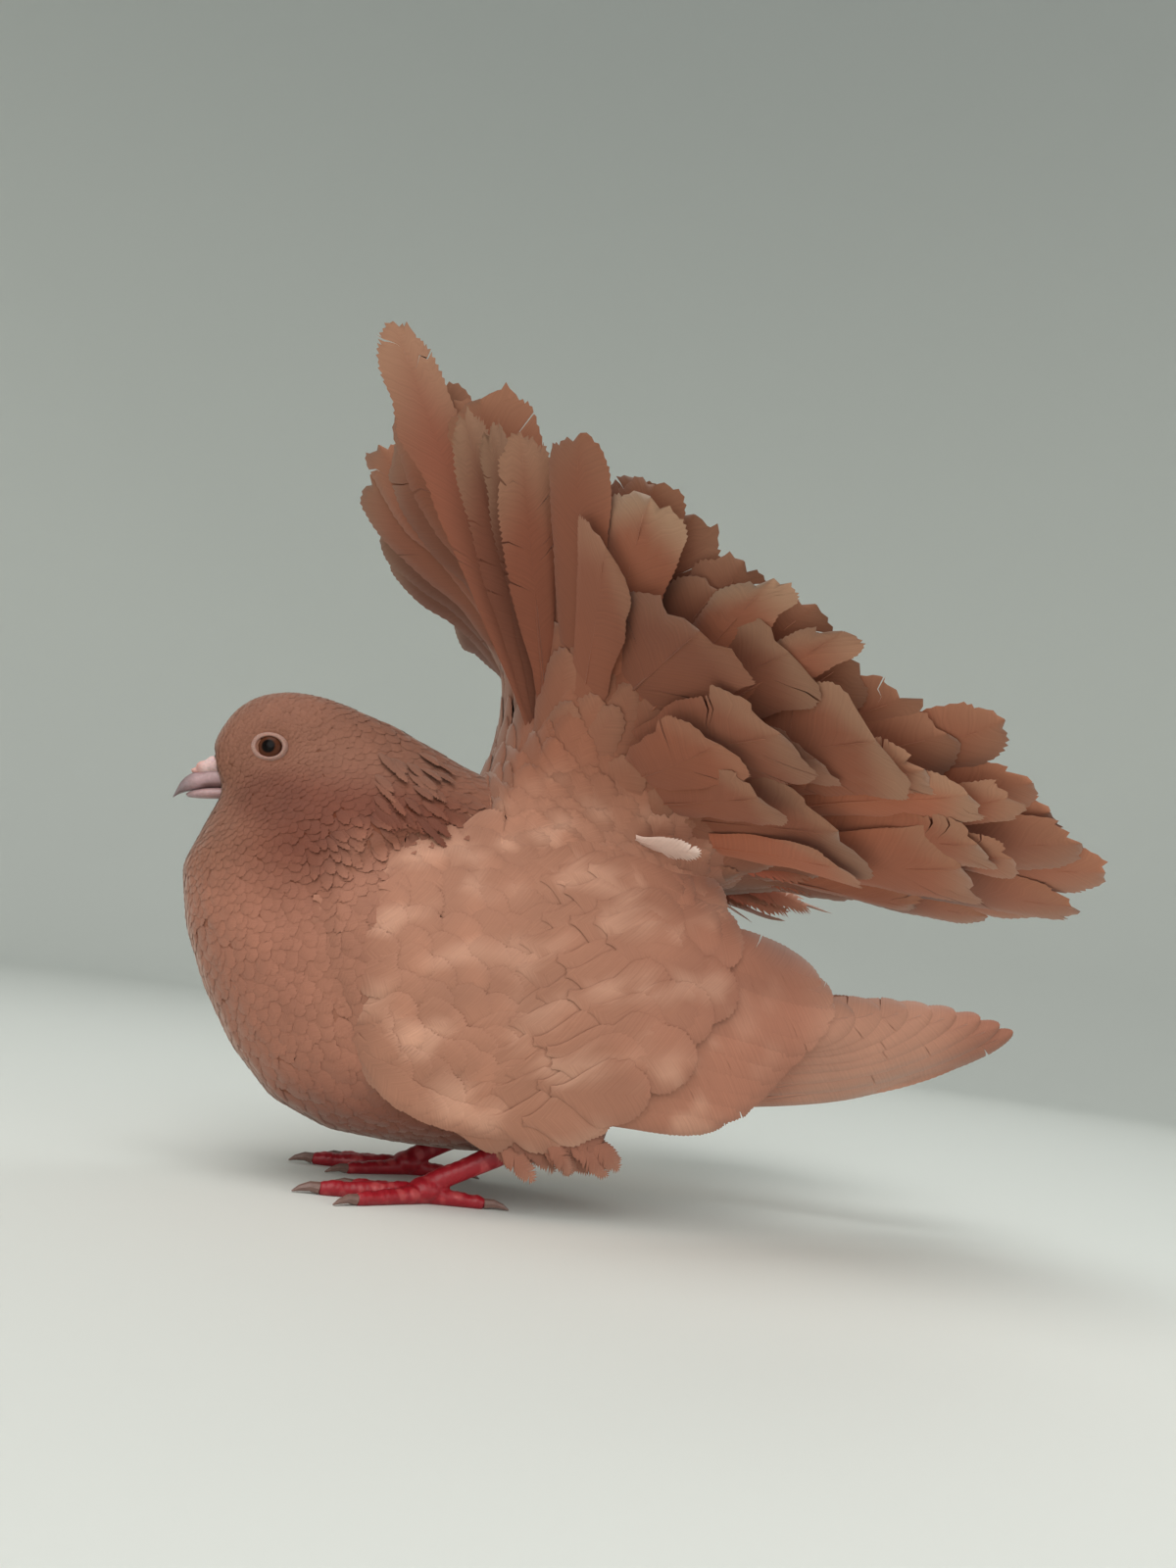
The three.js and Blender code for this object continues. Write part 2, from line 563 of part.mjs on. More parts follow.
const bothSides = (solid) => joined([solid, mirrored(solid)]);
const wingSpace = bothSides(shieldSolid(GAP, WING_DEPTH.least, 40));
const wingsClear = bothSides(shieldSolid(GAP, WING_DEPTH.most));
const flesh = joined([bodySolid(0), headSolid()]).subtract(wingSpace);
const bodyClear = bodySolid(GAP);
const lids = lidRing(0).subtract(eyeball(GAP));
const faceClear = joined([eyeball(GAP), mirrored(eyeball(GAP)), lidRing(GAP), mirrored(lidRing(GAP)),
  billUpper(GAP), billLower(GAP), cereSolid(GAP)]);
const [aboveHead, belowHead] = [halfSpace(HEAD_BASE, GAP / 2, true), halfSpace(HEAD_BASE, -GAP / 2, false)];
const [aboveNeck, belowNeck] = [halfSpace(NECK_BASE, GAP / 2, true), halfSpace(NECK_BASE, -GAP / 2, false)];
const pupilSide = egg([EYE.x + 4, EYE.y, EYE.z], [5, 6, 6], 14, 10);

addNode('head', flesh.intersect(aboveHead).subtract(faceClear), 'body');
addNode('neck', flesh.intersect(belowHead).intersect(aboveNeck).subtract(faceClear), 'body');
addNode('torso', flesh.intersect(belowHead).intersect(belowNeck), 'body');
addPair('eye', eyeball(0).intersect(pupilSide), 'eye');
addPair('eyelids', lids, 'lid');
addNode('bill_upper', billUpper(0).subtract(joined([cereSolid(GAP), nostrils()])), 'bill');
addNode('bill_lower', billLower(0).subtract(billUpper(GAP)), 'bill');
addNode('cere', cereSolid(0).subtract(nostrils()), 'cere');

const wingBulk = shieldSolid(0, WING_DEPTH.most).subtract(bodyClear);
addPair('wing', joined([shieldSolid(0, WING_DEPTH.least), wingBulk, ...wingTier(COVERTS)]), 'wing');
addPair('wing_secondaries', secondariesSolid().subtract(bodyClear), 'wing');
addPair('wing_primaries', primariesSolid().subtract(bodyClear), 'wing');

const rootClear = joined([bodyClear, tailStub(GAP), wingsClear]);
addNode('tail_base', tailBase().subtract(joined([bodyClear, wingsClear])), 'tail');
const SECTORS = ['tail_right_rear', 'tail_right_front', 'tail_left_front', 'tail_left_rear'];
SECTORS.forEach((name, index) => addNode(name, tailSector(index).subtract(rootClear), 'tail'));
addNode('undertail', undertail().subtract(rootClear), 'tail');

addPair('thigh', thigh().subtract(joined([bodyClear, wingsClear, tarsus(GAP)])), 'body');
addPair('tarsus', tarsus(0).subtract(bodyClear), 'leg');
const foot = joined([...TOES.map(toe), egg([FOOT.x, FOOT.y + 0.5, FOOT.z], [4.4, 4.8, 4], 12, 8)]);
addPair('foot', foot.subtract(joined([floorSlab(), tarsus(GAP)])), 'leg');
TOES.forEach((size, i) => addPair(CLAWS[i], claw(size).subtract(floorSlab()), 'claw'));

const box = new THREE.Box3().setFromObject(bird);
bird.position.set(-(box.min.x + box.max.x) / 2, -(box.min.y + box.max.y) / 2, -box.min.z);

export default bird;
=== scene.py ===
# Fantail pigeon in red plumage, life size, standing still with its tail raised in a wide fan
import math
import bpy
import numpy as np
from mathutils import Matrix, Vector
from mathutils.bvhtree import BVHTree
from mathutils.kdtree import KDTree


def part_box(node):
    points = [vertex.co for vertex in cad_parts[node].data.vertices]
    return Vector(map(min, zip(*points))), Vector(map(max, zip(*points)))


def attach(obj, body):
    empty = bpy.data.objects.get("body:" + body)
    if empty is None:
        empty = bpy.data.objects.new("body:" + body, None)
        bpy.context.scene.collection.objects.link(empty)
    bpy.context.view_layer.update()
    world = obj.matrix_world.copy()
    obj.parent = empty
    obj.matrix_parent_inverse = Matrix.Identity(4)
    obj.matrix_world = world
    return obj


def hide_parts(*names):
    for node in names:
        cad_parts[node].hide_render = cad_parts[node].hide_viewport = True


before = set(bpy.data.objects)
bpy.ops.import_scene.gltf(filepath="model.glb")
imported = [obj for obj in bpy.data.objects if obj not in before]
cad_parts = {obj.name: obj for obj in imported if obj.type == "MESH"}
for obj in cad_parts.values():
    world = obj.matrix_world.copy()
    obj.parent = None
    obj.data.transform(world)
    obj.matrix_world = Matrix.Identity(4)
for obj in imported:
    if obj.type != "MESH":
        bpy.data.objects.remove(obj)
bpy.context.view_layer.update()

# The bird's own measure: millimetres, bill towards -Y, its left side +X, floor at 0
EYE = np.array([9.9, -72.6, 127.4])
BILL_ROOT = np.array([0, -92.0, 119.0])
SIDES = {"left": 1.0, "right": -1.0}
# The point that the coat of neck, breast and belly runs round, seen from the side as y and z
PIVOT = np.array([14.0, 150.0])
# How deep the skin lies inside the solids
COAT_DEPTH = 1.1


def frame_shift():
    """Where the solids' own origin lies from the stance point, read from the two eyes."""
    corners = np.array([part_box(name) for name in ("eye_left", "eye_right")]) * 1000
    middle = corners.reshape(-1, 3).mean(0)
    return np.array([middle[0], middle[1] - EYE[1], 0.0])


SHIFT = frame_shift()


def placed(points):
    return (np.asarray(points, float) + SHIFT) / 1000


def measured(points):
    return np.asarray(points, float) * 1000 - SHIFT


# Curves, easing and directions
def mix(a, b, t):
    return a + (b - a) * t


def ease(x, low, high):
    """Rises smoothly from 0 at `low` to 1 at `high`."""
    t = np.clip((np.asarray(x, float) - low) / (high - low), 0, 1)
    return t * t * (3 - 2 * t)


def follow(table, x, column=1):
    """A smooth curve through a short table of sizes, read at x."""
    rows = np.array(table, float)
    keys = rows[:, 0]
    values = rows[:, column]
    slopes = np.empty(len(keys))
    slopes[1:-1] = (values[2:] - values[:-2]) / (keys[2:] - keys[:-2])
    slopes[0] = (values[1] - values[0]) / (keys[1] - keys[0])
    slopes[-1] = (values[-1] - values[-2]) / (keys[-1] - keys[-2])
    at = np.clip(np.asarray(x, float), keys[0], keys[-1])
    i = np.clip(np.searchsorted(keys, at, side="right") - 1, 0, len(keys) - 2)
    span = keys[i + 1] - keys[i]
    t = (at - keys[i]) / span
    return ((2 * t**3 - 3 * t**2 + 1) * values[i] + (t**3 - 2 * t**2 + t) * span * slopes[i]
            + (-2 * t**3 + 3 * t**2) * values[i + 1] + (t**3 - t**2) * span * slopes[i + 1])


def unit(vectors):
    return vectors / np.maximum(np.linalg.norm(vectors, axis=-1, keepdims=True), 1e-9)


def full_turn(steps):
    """Angles that go once round in even steps."""
    return np.linspace(0, 2 * math.pi, steps + 1)[:-1]


def wave_noise(points, size, seed):
    """Smooth chance between about -1 and 1 over a body, with lumps of about the given size."""
    draw = np.random.default_rng(seed)
    total = np.zeros(np.shape(points)[:-1])
    for _ in range(7):
        way = unit(draw.normal(size=3)) * 2 * math.pi / (size * draw.uniform(1.2, 2.6))
        total += np.sin(points @ way + draw.uniform(0, 7))
    return total / 3.2


# Colours
def linear(hex_colour):
    """The linear colour that an sRGB hex value stands for."""
    parts = [int(hex_colour[i:i + 2], 16) / 255 for i in (1, 3, 5)]
    return np.array([c / 12.92 if c <= 0.04045 else ((c + 0.055) / 1.055) ** 2.4 for c in parts])


def lit(colour, amount):
    return colour * (1 + np.asarray(amount)[..., None])


HEAD_RED = linear("#815441")
NECK_RED = linear("#6b3826")
BREAST_RED = linear("#996551")
# The belly's brown is darker than the breast's partly as painted shade, for the shade under the body
BELLY_BROWN = linear("#7a4a3a")
WING_TAN = linear("#9d6d57")
WING_PALE = linear("#c69880")
WING_WARM = linear("#9e6853")
TAIL_OCHRE = linear("#895039")
TAIL_DEEP = linear("#6c3b2a")
TAIL_PALE = linear("#ac8b70")
UNDERTAIL_RED = mix(TAIL_OCHRE, linear("#a4543f"), 0.6)
WHITE_FEATHER = linear("#dcbcae")
WHITE_FEATHER_TIP = linear("#ead2c6")
HORN_TIP = linear("#7c6b6c")
HORN_ROOT = linear("#a98a8c")
HORN_LOW = linear("#ab8a8a")
GAPE_BROWN = linear("#5a3c38")
CERE_POWDER = linear("#cdb0ad")
CERE_FRONT = linear("#c79a92")
PUPIL_BLACK = linear("#0c0706")
IRIS_BROWN = linear("#4e2b1c")
EYE_RIM = linear("#1c0f0b")
LID_PALE = linear("#9d7a6e")
LID_FLUSHED = linear("#7a5043")
LEG_RED = linear("#971723")
LEG_PALE = linear("#d86a68")
LEG_DARK = linear("#7d1620")
CLAW_BROWN = mix(linear("#8a6a60"), linear("#4a3733"), 0.4)


def body_colour(points):
    """The coat's markings over head, neck, breast, belly and back, by place on the bird; the belly's darker
    brown is partly painted shade.
    """
    x, y, z = points[..., 0], points[..., 1], points[..., 2]
    to_neck = ease(z, 128, 112) * ease(y, -84, -60)
    colour = mix(HEAD_RED, NECK_RED, to_neck[..., None])
    cheek = ease(np.hypot(y + 70, 1.3 * (z - 111)), 16, 5) * ease(np.abs(x), 5, 12)
    colour = mix(colour, NECK_RED * 0.85, (0.7 * cheek)[..., None])
    to_breast = ease(z, 99, 72)
    colour = mix(colour, BREAST_RED, to_breast[..., None])
    # painted shade, partly the belly's own darker colour: the underside turns to the darker belly brown
    to_belly = ease(z, 40, 16)
    colour = mix(colour, BELLY_BROWN, to_belly[..., None])
    to_back = ease(y, -22, 6) * ease(z, 84, 108)
    colour = mix(colour, mix(WING_TAN, NECK_RED, 0.35), to_back[..., None])
    to_flank = ease(y, 30, 70) * ease(z, 90, 60)
    colour = mix(colour, WING_WARM, 0.6 * to_flank[..., None])
    to_wing = ease(np.abs(x), 24, 40) * ease(y, -56, -38) * ease(z, 30, 50) * ease(z, 112, 96)
    colour = mix(colour, mix(BREAST_RED, WING_TAN, 0.4), to_wing[..., None])
    return lit(colour, 0.05 * wave_noise(points, 16, 5) + 0.03 * wave_noise(points, 5, 6))


def wing_colour(points):
    """Paler and mottled over the shoulder, warmer toward the rear, dark at the tips of the flights."""
    y, z = points[..., 1], points[..., 2]
    colour = mix(WING_TAN, WING_WARM, (0.9 * ease(y, 10, 95))[..., None])
    colour = mix(colour, BREAST_RED, (0.6 * ease(y, -24, -40))[..., None])
    mottled = ease(wave_noise(points, 12, 21) + 0.4 * wave_noise(points, 5, 22), -0.1, 1.3)
    colour = mix(colour, WING_PALE, (0.55 * mottled * ease(y, -48, -36) * ease(y, 110, 60))[..., None])
    colour = mix(colour, WING_PALE, (0.4 * ease(y, 98, 118) * ease(y, 188, 150))[..., None])
    colour = mix(colour, TAIL_DEEP, (0.35 * ease(y, 165, 205))[..., None])
    return lit(colour, 0.06 * wave_noise(points, 14, 8) + 0.1 * ease(z, 62, 30))


# Materials
def add_node(tree, kind, settings=None, links=None):
    """Adds one node, with its settings and its links from other nodes' outputs."""
    node = tree.nodes.new(kind)
    for name, value in (settings or {}).items():
        if name in node.inputs:
            node.inputs[name].default_value = value
        else:
            setattr(node, name, value)
    for name, source in (links or {}).items():
        tree.links.new(source, node.inputs[name])
    return node


def new_material(name, **settings):
    """A material with its shader's settings, ready for the rest of the finish."""
    material = bpy.data.materials.new(name)
    material.use_nodes = True
    tree = material.node_tree
    shader = tree.nodes["Principled BSDF"]
    for setting, value in settings.items():
        shader.inputs[setting.replace("_", " ")].default_value = value
    return material, tree, shader


def feather(name, barb_mm, relief_mm, sheen):
    """Pigeon feather, dry keratin barbs zipped side by side: dull, soft at the edge, finely combed
    across the shaft. Real barbs lie 0.3 mm apart; they are drawn coarser here so that they show."""
    material, tree, shader = new_material(
        name, Roughness=0.72, IOR=1.54, Specular_IOR_Level=0.28,
        Sheen_Weight=sheen, Sheen_Roughness=0.45, Sheen_Tint=(1.0, 0.86, 0.76, 1.0))
    tint = add_node(tree, "ShaderNodeAttribute", {"attribute_name": "Tint"})
    comb = add_node(tree, "ShaderNodeUVMap", {"uv_map": "Barbs"})
    along = add_node(tree, "ShaderNodeSeparateXYZ", None, {"Vector": comb.outputs["UV"]})
    stretch = add_node(tree, "ShaderNodeCombineXYZ", None, {"Y": along.outputs["Y"]})
    barbs = add_node(tree, "ShaderNodeTexNoise",
                     {"Scale": 1 / barb_mm, "Detail": 1.5, "Roughness": 0.6},
                     {"Vector": stretch.outputs["Vector"]})
    shade = add_node(tree, "ShaderNodeMapRange",
                     {"From Min": 0.3, "From Max": 0.7, "To Min": 0.92, "To Max": 1.06},
                     {"Value": barbs.outputs["Fac"]})
    combed = add_node(tree, "ShaderNodeVectorMath", {"operation": "SCALE"},
                      {"Vector": tint.outputs["Color"], "Scale": shade.outputs["Result"]})
    tree.links.new(combed.outputs["Vector"], shader.inputs["Base Color"])
    bump = add_node(tree, "ShaderNodeBump", {"Strength": 0.55, "Distance": relief_mm / 1000},
                    {"Height": barbs.outputs["Fac"]})
    tree.links.new(bump.outputs["Normal"], shader.inputs["Normal"])
    return material


def contour_feather():
    """The small feathers of head and body: the finest barbs, and a velvet edge from their loose tips."""
    return feather("contour_feather", 0.55, 0.12, 0.35)


def covert_feather():
    """The feathers over wing and rump: soft like the body's, a little more coarsely barbed."""
    return feather("wing_covert", 0.7, 0.14, 0.35)


def flight_feather():
    """Stiff flight and tail feathers: long barbs, firmly zipped, so less of the velvet edge."""
    return feather("flight_feather", 0.9, 0.12, 0.25)


def downy_skin():
    """The bird's skin with its down, which shows only in the gaps between feathers: quite matt."""
    material, tree, shader = new_material("downy_skin", Roughness=0.9, Specular_IOR_Level=0.15)
    tint = add_node(tree, "ShaderNodeAttribute", {"attribute_name": "Tint"})
    tree.links.new(tint.outputs["Color"], shader.inputs["Base Color"])
    place = add_node(tree, "ShaderNodeTexCoord")
    fluff = add_node(tree, "ShaderNodeTexNoise", {"Scale": 700.0, "Detail": 3.0},
                     {"Vector": place.outputs["Object"]})
    bump = add_node(tree, "ShaderNodeBump", {"Strength": 0.6, "Distance": 0.0005},
                    {"Height": fluff.outputs["Fac"]})
    tree.links.new(bump.outputs["Normal"], shader.inputs["Normal"])
    return material


def grained(name, grain_mm, relief_mm, roughness, specular, subsurface=0.0):
    """Bare skin or horn whose colours are painted by place, with a fine grain of its own."""
    material, tree, shader = new_material(
        name, Roughness=roughness, Specular_IOR_Level=specular,
        Subsurface_Weight=subsurface, Subsurface_Scale=0.001)
    tint = add_node(tree, "ShaderNodeAttribute", {"attribute_name": "Tint"})
    place = add_node(tree, "ShaderNodeTexCoord")
    grain = add_node(tree, "ShaderNodeTexNoise", {"Scale": 1000 / grain_mm, "Detail": 4.0, "Roughness": 0.6},
                     {"Vector": place.outputs["Object"]})
    shade = add_node(tree, "ShaderNodeMapRange",
                     {"From Min": 0.3, "From Max": 0.7, "To Min": 0.86, "To Max": 1.1},
                     {"Value": grain.outputs["Fac"]})
    mottled = add_node(tree, "ShaderNodeVectorMath", {"operation": "SCALE"},
                       {"Vector": tint.outputs["Color"], "Scale": shade.outputs["Result"]})
    tree.links.new(mottled.outputs["Vector"], shader.inputs["Base Color"])
    bump = add_node(tree, "ShaderNodeBump", {"Strength": 0.7, "Distance": relief_mm / 1000},
                    {"Height": grain.outputs["Fac"]})
    tree.links.new(bump.outputs["Normal"], shader.inputs["Normal"])
    return material


def bill_horn():
    """Thin horn over the bill, grown and worn smooth: a soft gloss, a little light let in."""
    return grained("bill_horn", 1.2, 0.05, 0.38, 0.45, 0.1)


def cere_skin():
    """Swollen bare skin dusted with powder down: matt and chalky, softly lit from within."""
    return grained("cere_skin", 0.8, 0.12, 0.75, 0.2, 0.2)


def lid_skin():
    """Thin puckered skin round the eye, dry: matt, softly lit from within."""
    return grained("lid_skin", 0.6, 0.1, 0.62, 0.3, 0.2)


def leg_scales():
    """Horny scales over the red skin of the legs: a dull gloss on each plate."""
    return grained("leg_scales", 1.4, 0.25, 0.42, 0.45, 0.1)


def claw_horn():
    """Hard worn horn: evenly smooth with a soft gloss."""
    return grained("claw_horn", 1.0, 0.04, 0.4, 0.4)


def eye_cornea():
    """Wet cornea over a dark iris: one sharp highlight, nearly black with a brown rim."""
    material, tree, shader = new_material("eye_cornea", Roughness=0.2, IOR=1.376, Specular_IOR_Level=0.12)
    tint = add_node(tree, "ShaderNodeAttribute", {"attribute_name": "Tint"})
    tree.links.new(tint.outputs["Color"], shader.inputs["Base Color"])
    return material


def studio_paper():
    """Seamless matt paper, pale grey, which bounces soft light up under the bird."""
    material, tree, shader = new_material(
        "studio_paper", Roughness=0.85, Base_Color=(*linear("#dcdfda"), 1.0))
    place = add_node(tree, "ShaderNodeTexCoord")
    tooth = add_node(tree, "ShaderNodeTexNoise", {"Scale": 260.0, "Detail": 2.0},
                     {"Vector": place.outputs["Object"]})
    bump = add_node(tree, "ShaderNodeBump", {"Strength": 0.1, "Distance": 0.0004},
                    {"Height": tooth.outputs["Fac"]})
    tree.links.new(bump.outputs["Normal"], shader.inputs["Normal"])
    return material


# Meshes: reading, writing and joining them
def new_object(name, data):
    """A new object in the scene."""
    made = bpy.data.objects.new(name, data)
    bpy.context.scene.collection.objects.link(made)
    return made


def raw_points(mesh):
    rows = np.empty(len(mesh.vertices) * 3)
    mesh.vertices.foreach_get("co", rows)
    return rows.reshape(-1, 3)


def mesh_points(mesh):
    """A mesh's points in the bird's own measure."""
    return measured(raw_points(mesh))


def move_points(mesh, places):
    mesh.vertices.foreach_set("co", places.astype(np.float32).ravel())


def corner_points(mesh):
    """Which point each corner of each face is."""
    corners = np.empty(len(mesh.loops), np.int32)
    mesh.loops.foreach_get("vertex_index", corners)
    return corners


def add_map(mesh, name, places):
    """Writes a map: a place on a flat sheet for each corner of each face."""
    mesh.uv_layers.new(name=name).data.foreach_set("uv", places.astype(np.float32).ravel())


def paint(mesh, colours):
    """Writes the colour of each point of a mesh."""
    tint = mesh.attributes.new("Tint", "FLOAT_COLOR", "POINT")
    rows = np.ones((len(mesh.vertices), 4), np.float32)
    rows[:, :3] = np.clip(colours, 0.001, 1)
    tint.data.foreach_set("color", rows.ravel())


class Gathering:
    """Collects closed forms with a colour and two maps at each point, to become one joined mesh."""

    def __init__(self):
        self.points, self.tints, self.patches, self.combs, self.outward = [], [], [], [], []
        self.quads, self.triangles = [np.zeros((0, 4), int)], [np.zeros((0, 3), int)]
        self.count = 0

    def add(self, points, quads, triangles, tints, patches=(0.0, 0.0), combs=(0.0, 0.0),
            outward=(0.0, 0.0, 0.0)):
        """Adds one form. `patches` are its places on the flat sheet for colours, `combs` run along and
        across its barbs, and `outward` are its upward directions where it has its own."""
        points = np.asarray(points, float).reshape(-1, 3)
        self.points.append(points)
        for rows, values, width in ((self.tints, tints, 3), (self.patches, patches, 2),
                                    (self.combs, combs, 2), (self.outward, outward, 3)):
            rows.append(np.broadcast_to(values, (len(points), width)))
        self.quads.append(np.asarray(quads, int).reshape(-1, 4) + self.count)
        self.triangles.append(np.asarray(triangles, int).reshape(-1, 3) + self.count)
        self.count += len(points)

    def piece(self, name, material, slot, crease=50):
        """The joined mesh as one piece of the bird, in place and riding on it."""
        points = placed(np.concatenate(self.points))
        quads, triangles = np.concatenate(self.quads), np.concatenate(self.triangles)
        corners = np.concatenate([quads.ravel(), triangles.ravel()]).astype(np.int32)
        starts = np.concatenate([np.arange(len(quads)) * 4, len(quads) * 4 + np.arange(len(triangles)) * 3])
        mesh = bpy.data.meshes.new(name)
        mesh.vertices.add(len(points))
        move_points(mesh, points)
        mesh.loops.add(len(corners))
        mesh.loops.foreach_set("vertex_index", corners)
        mesh.polygons.add(len(starts))
        mesh.polygons.foreach_set("loop_start", starts.astype(np.int32))
        mesh.update(calc_edges=True)
        mesh.polygons.foreach_set("use_smooth", np.full(len(starts), True))
        add_map(mesh, "OFBake", np.concatenate(self.patches)[corners])
        add_map(mesh, "Barbs", np.concatenate(self.combs)[corners])
        paint(mesh, np.concatenate(self.tints))
        outward = np.concatenate(self.outward)
        if np.abs(outward).any():
            own = np.empty(len(points) * 3, np.float32)
            mesh.vertex_normals.foreach_get("vector", own)
            given = np.abs(outward).sum(1, keepdims=True) > 0
            directions = np.where(given, outward, own.reshape(-1, 3))
            mesh.normals_split_custom_set_from_vertices(directions.tolist())
        else:
            mesh.set_sharp_from_angle(angle=math.radians(crease))
        mesh.materials.append(material)
        piece = new_object(name, mesh)
        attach(piece, "root")
        return piece


def grid_quads(rows, columns):
    """The faces of a closed plate: an upper and a lower grid of points, and the rim between them."""
    i, j = np.meshgrid(np.arange(rows - 1), np.arange(columns - 1), indexing="ij")
    a = (i * columns + j).ravel()
    upper = np.stack([a, a + columns, a + columns + 1, a + 1], 1)
    size = rows * columns
    lower = upper[:, ::-1] + size
    rim = ([(0, j) for j in range(columns)] + [(i, columns - 1) for i in range(1, rows)]
           + [(rows - 1, j) for j in range(columns - 2, -1, -1)] + [(i, 0) for i in range(rows - 2, 0, -1)])
    edge = np.array([i * columns + j for i, j in rim])
    ahead = np.roll(edge, -1)
    side = np.stack([edge, ahead, ahead + size, edge + size], 1)
    return np.concatenate([upper, lower, side])


def tube_faces(rings, sides):
    """The faces of a closed tube whose last two points are the middles of its ends."""
    i, j = np.meshgrid(np.arange(rings - 1), np.arange(sides), indexing="ij")
    k = (j + 1) % sides
    quads = np.stack([i * sides + j, i * sides + k, (i + 1) * sides + k, (i + 1) * sides + j], -1)
    j = np.arange(sides)
    k = (j + 1) % sides
    first, last = rings * sides, rings * sides + 1
    start = np.stack([np.full(sides, first), k, j], 1)
    end = np.stack([np.full(sides, last), (rings - 1) * sides + j, (rings - 1) * sides + k], 1)
    return quads.reshape(-1, 4), np.concatenate([start, end])


def egg_form(centre, radii, rings=20, sides=28):
    """A closed egg form, its poles up and down: points and faces."""
    centre, radii = np.array(centre, float), np.array(radii, float)
    polar = np.linspace(0, math.pi, rings + 2)[1:-1][:, None]
    angle = full_turn(sides)[None]
    points = np.stack([np.sin(polar) * np.cos(angle), np.sin(polar) * np.sin(angle),
                       -np.cos(polar) + 0 * angle], -1) * radii + centre
    pole = np.array([0, 0, radii[2]])
    return np.concatenate([points.reshape(-1, 3), [centre - pole, centre + pole]]), *tube_faces(rings, sides)


def add_melting(piece, voxel_mm, rounds):
    """Lets a piece's joined forms run together into one surface, smoothed in so many rounds."""
    remesh = piece.modifiers.new("one_surface", "REMESH")
    remesh.mode = "VOXEL"
    remesh.voxel_size = voxel_mm / 1000
    remesh.use_smooth_shade = True
    smooth = piece.modifiers.new("rounded", "SMOOTH")
    smooth.factor = 0.5
    smooth.iterations = rounds


def applied(piece):
    """Makes a piece's modifiers part of its mesh."""
    shown = piece.evaluated_get(bpy.context.evaluated_depsgraph_get())
    mesh = bpy.data.meshes.new_from_object(shown)
    piece.modifiers.clear()
    piece.data = mesh
    return mesh


def recolour(piece, colour, bake):
    """Paints a melted piece by place, and gives it its sheet for colours."""
    mesh = piece.data
    points = mesh_points(mesh)
    for label in ("Tint", "OFBake", "Barbs"):
        if label in mesh.attributes:
            mesh.attributes.remove(mesh.attributes[label])
    paint(mesh, colour(points))
    add_map(mesh, "OFBake", bake(points)[corner_points(mesh)])


# The folded wing's form. WING: distance along the bird, middle height, half height, how far out it stands.
WING = [[-50, 78, 22, 40], [-20, 66, 44, 47.5], [10, 70, 50, 50.5], [40, 70, 46, 49.5], [70, 65, 36, 45.5],
        [100, 61, 24, 38.5], [130, 62, 18, 31], [160, 68, 12, 24], [200, 74, 8, 17]]
# The lower and upper edge of the part that its coverts cover: distance along the bird, height
SHIELD_LOWER = [[-46, 76], [-44, 60], [-36, 43], [-22, 29], [0, 23], [30, 24], [62, 31], [90, 39], [120, 50]]
SHIELD_UPPER = [[-46, 79], [-44, 92], [-36, 101], [-20, 109], [2, 120], [32, 118], [62, 104], [90, 84],
                [120, 78]]
SHIELD_FRONT, SHIELD_REAR = -45, 120


def wing_out(y, z):
    """How far out the folded wing's surface stands at a height along it."""
    rise = (z - follow(WING, y, 1)) / follow(WING, y, 2)
    fall = np.where(rise > 0, 16.0, 13.0)
    return follow(WING, y, 3) - fall * np.clip(np.abs(rise), 0, 1.3) ** 2.2 * np.clip((240 - y) / 240, 0.2, 1)


def wing_cover(points, margin=0.0):
    """Whether a place lies on the folded wing rather than on the body."""
    x, y, z = points[..., 0], points[..., 1], points[..., 2]
    low, high = follow(SHIELD_LOWER, y), follow(SHIELD_UPPER, y)
    inside = (y > SHIELD_FRONT + margin) & (z > low + margin) & (z < high - margin)
    return inside & (np.abs(x) > wing_out(y, z) - 7) & (y < SHIELD_REAR)


def edge_slope(edge, y, reach):
    """How steeply an edge of the wing climbs at y."""
    return (follow(edge, y + reach) - follow(edge, y - reach)) / (2 * reach)


# The spread tail's form: a wide cone whose axis leans back, with its root in the rump
TAIL_ROOT = np.array([0, 28.0, 122.0])
TAIL_TILT = math.radians(33)
TAIL_CONE = math.radians(65)
TAIL_UP = np.array([0, math.sin(TAIL_TILT), math.cos(TAIL_TILT)])
TAIL_FRONT = np.array([0, -math.cos(TAIL_TILT), math.sin(TAIL_TILT)])
ACROSS = np.array([1.0, 0, 0])
# Length of the fan's feathers by degrees round the tail from its front
TAIL_LENGTH = [[0, 146], [20, 143], [50, 132], [67, 128], [76, 118], [86, 128], [93, 122], [110, 137],
               [130, 158], [145, 162], [150, 150], [157, 138]]
FAN_ROOT = 27


def tail_point(turn, reach, lift):
    """A place on the tail's cone: degrees round it, distance from its root, height over its near face."""
    turn = np.radians(turn)
    out = np.cos(turn)[..., None] * TAIL_FRONT + np.sin(turn)[..., None] * ACROSS
    along = TAIL_UP * math.cos(TAIL_CONE) + out * math.sin(TAIL_CONE)
    outward = -TAIL_UP * math.sin(TAIL_CONE) + out * math.cos(TAIL_CONE)
    return along * np.asarray(reach)[..., None] + outward * np.asarray(lift)[..., None] + TAIL_ROOT


def over_cone(points):
    """The outward direction of the tail's cone at each place, and the place's height over it."""
    from_tail = points - TAIL_ROOT
    up = (from_tail @ TAIL_UP)[..., None]
    out = from_tail - up * TAIL_UP
    lift = np.linalg.norm(out, axis=-1, keepdims=True) * math.cos(TAIL_CONE) - up * math.sin(TAIL_CONE)
    return unit(out) * math.cos(TAIL_CONE) - TAIL_UP * math.sin(TAIL_CONE), lift


def toward_front(turn):
    """How much a place on the tail belongs to its front, behind the neck, where the fan bows inward."""
    return ease(turn, 58, 24) * ease(turn, -104, -64)


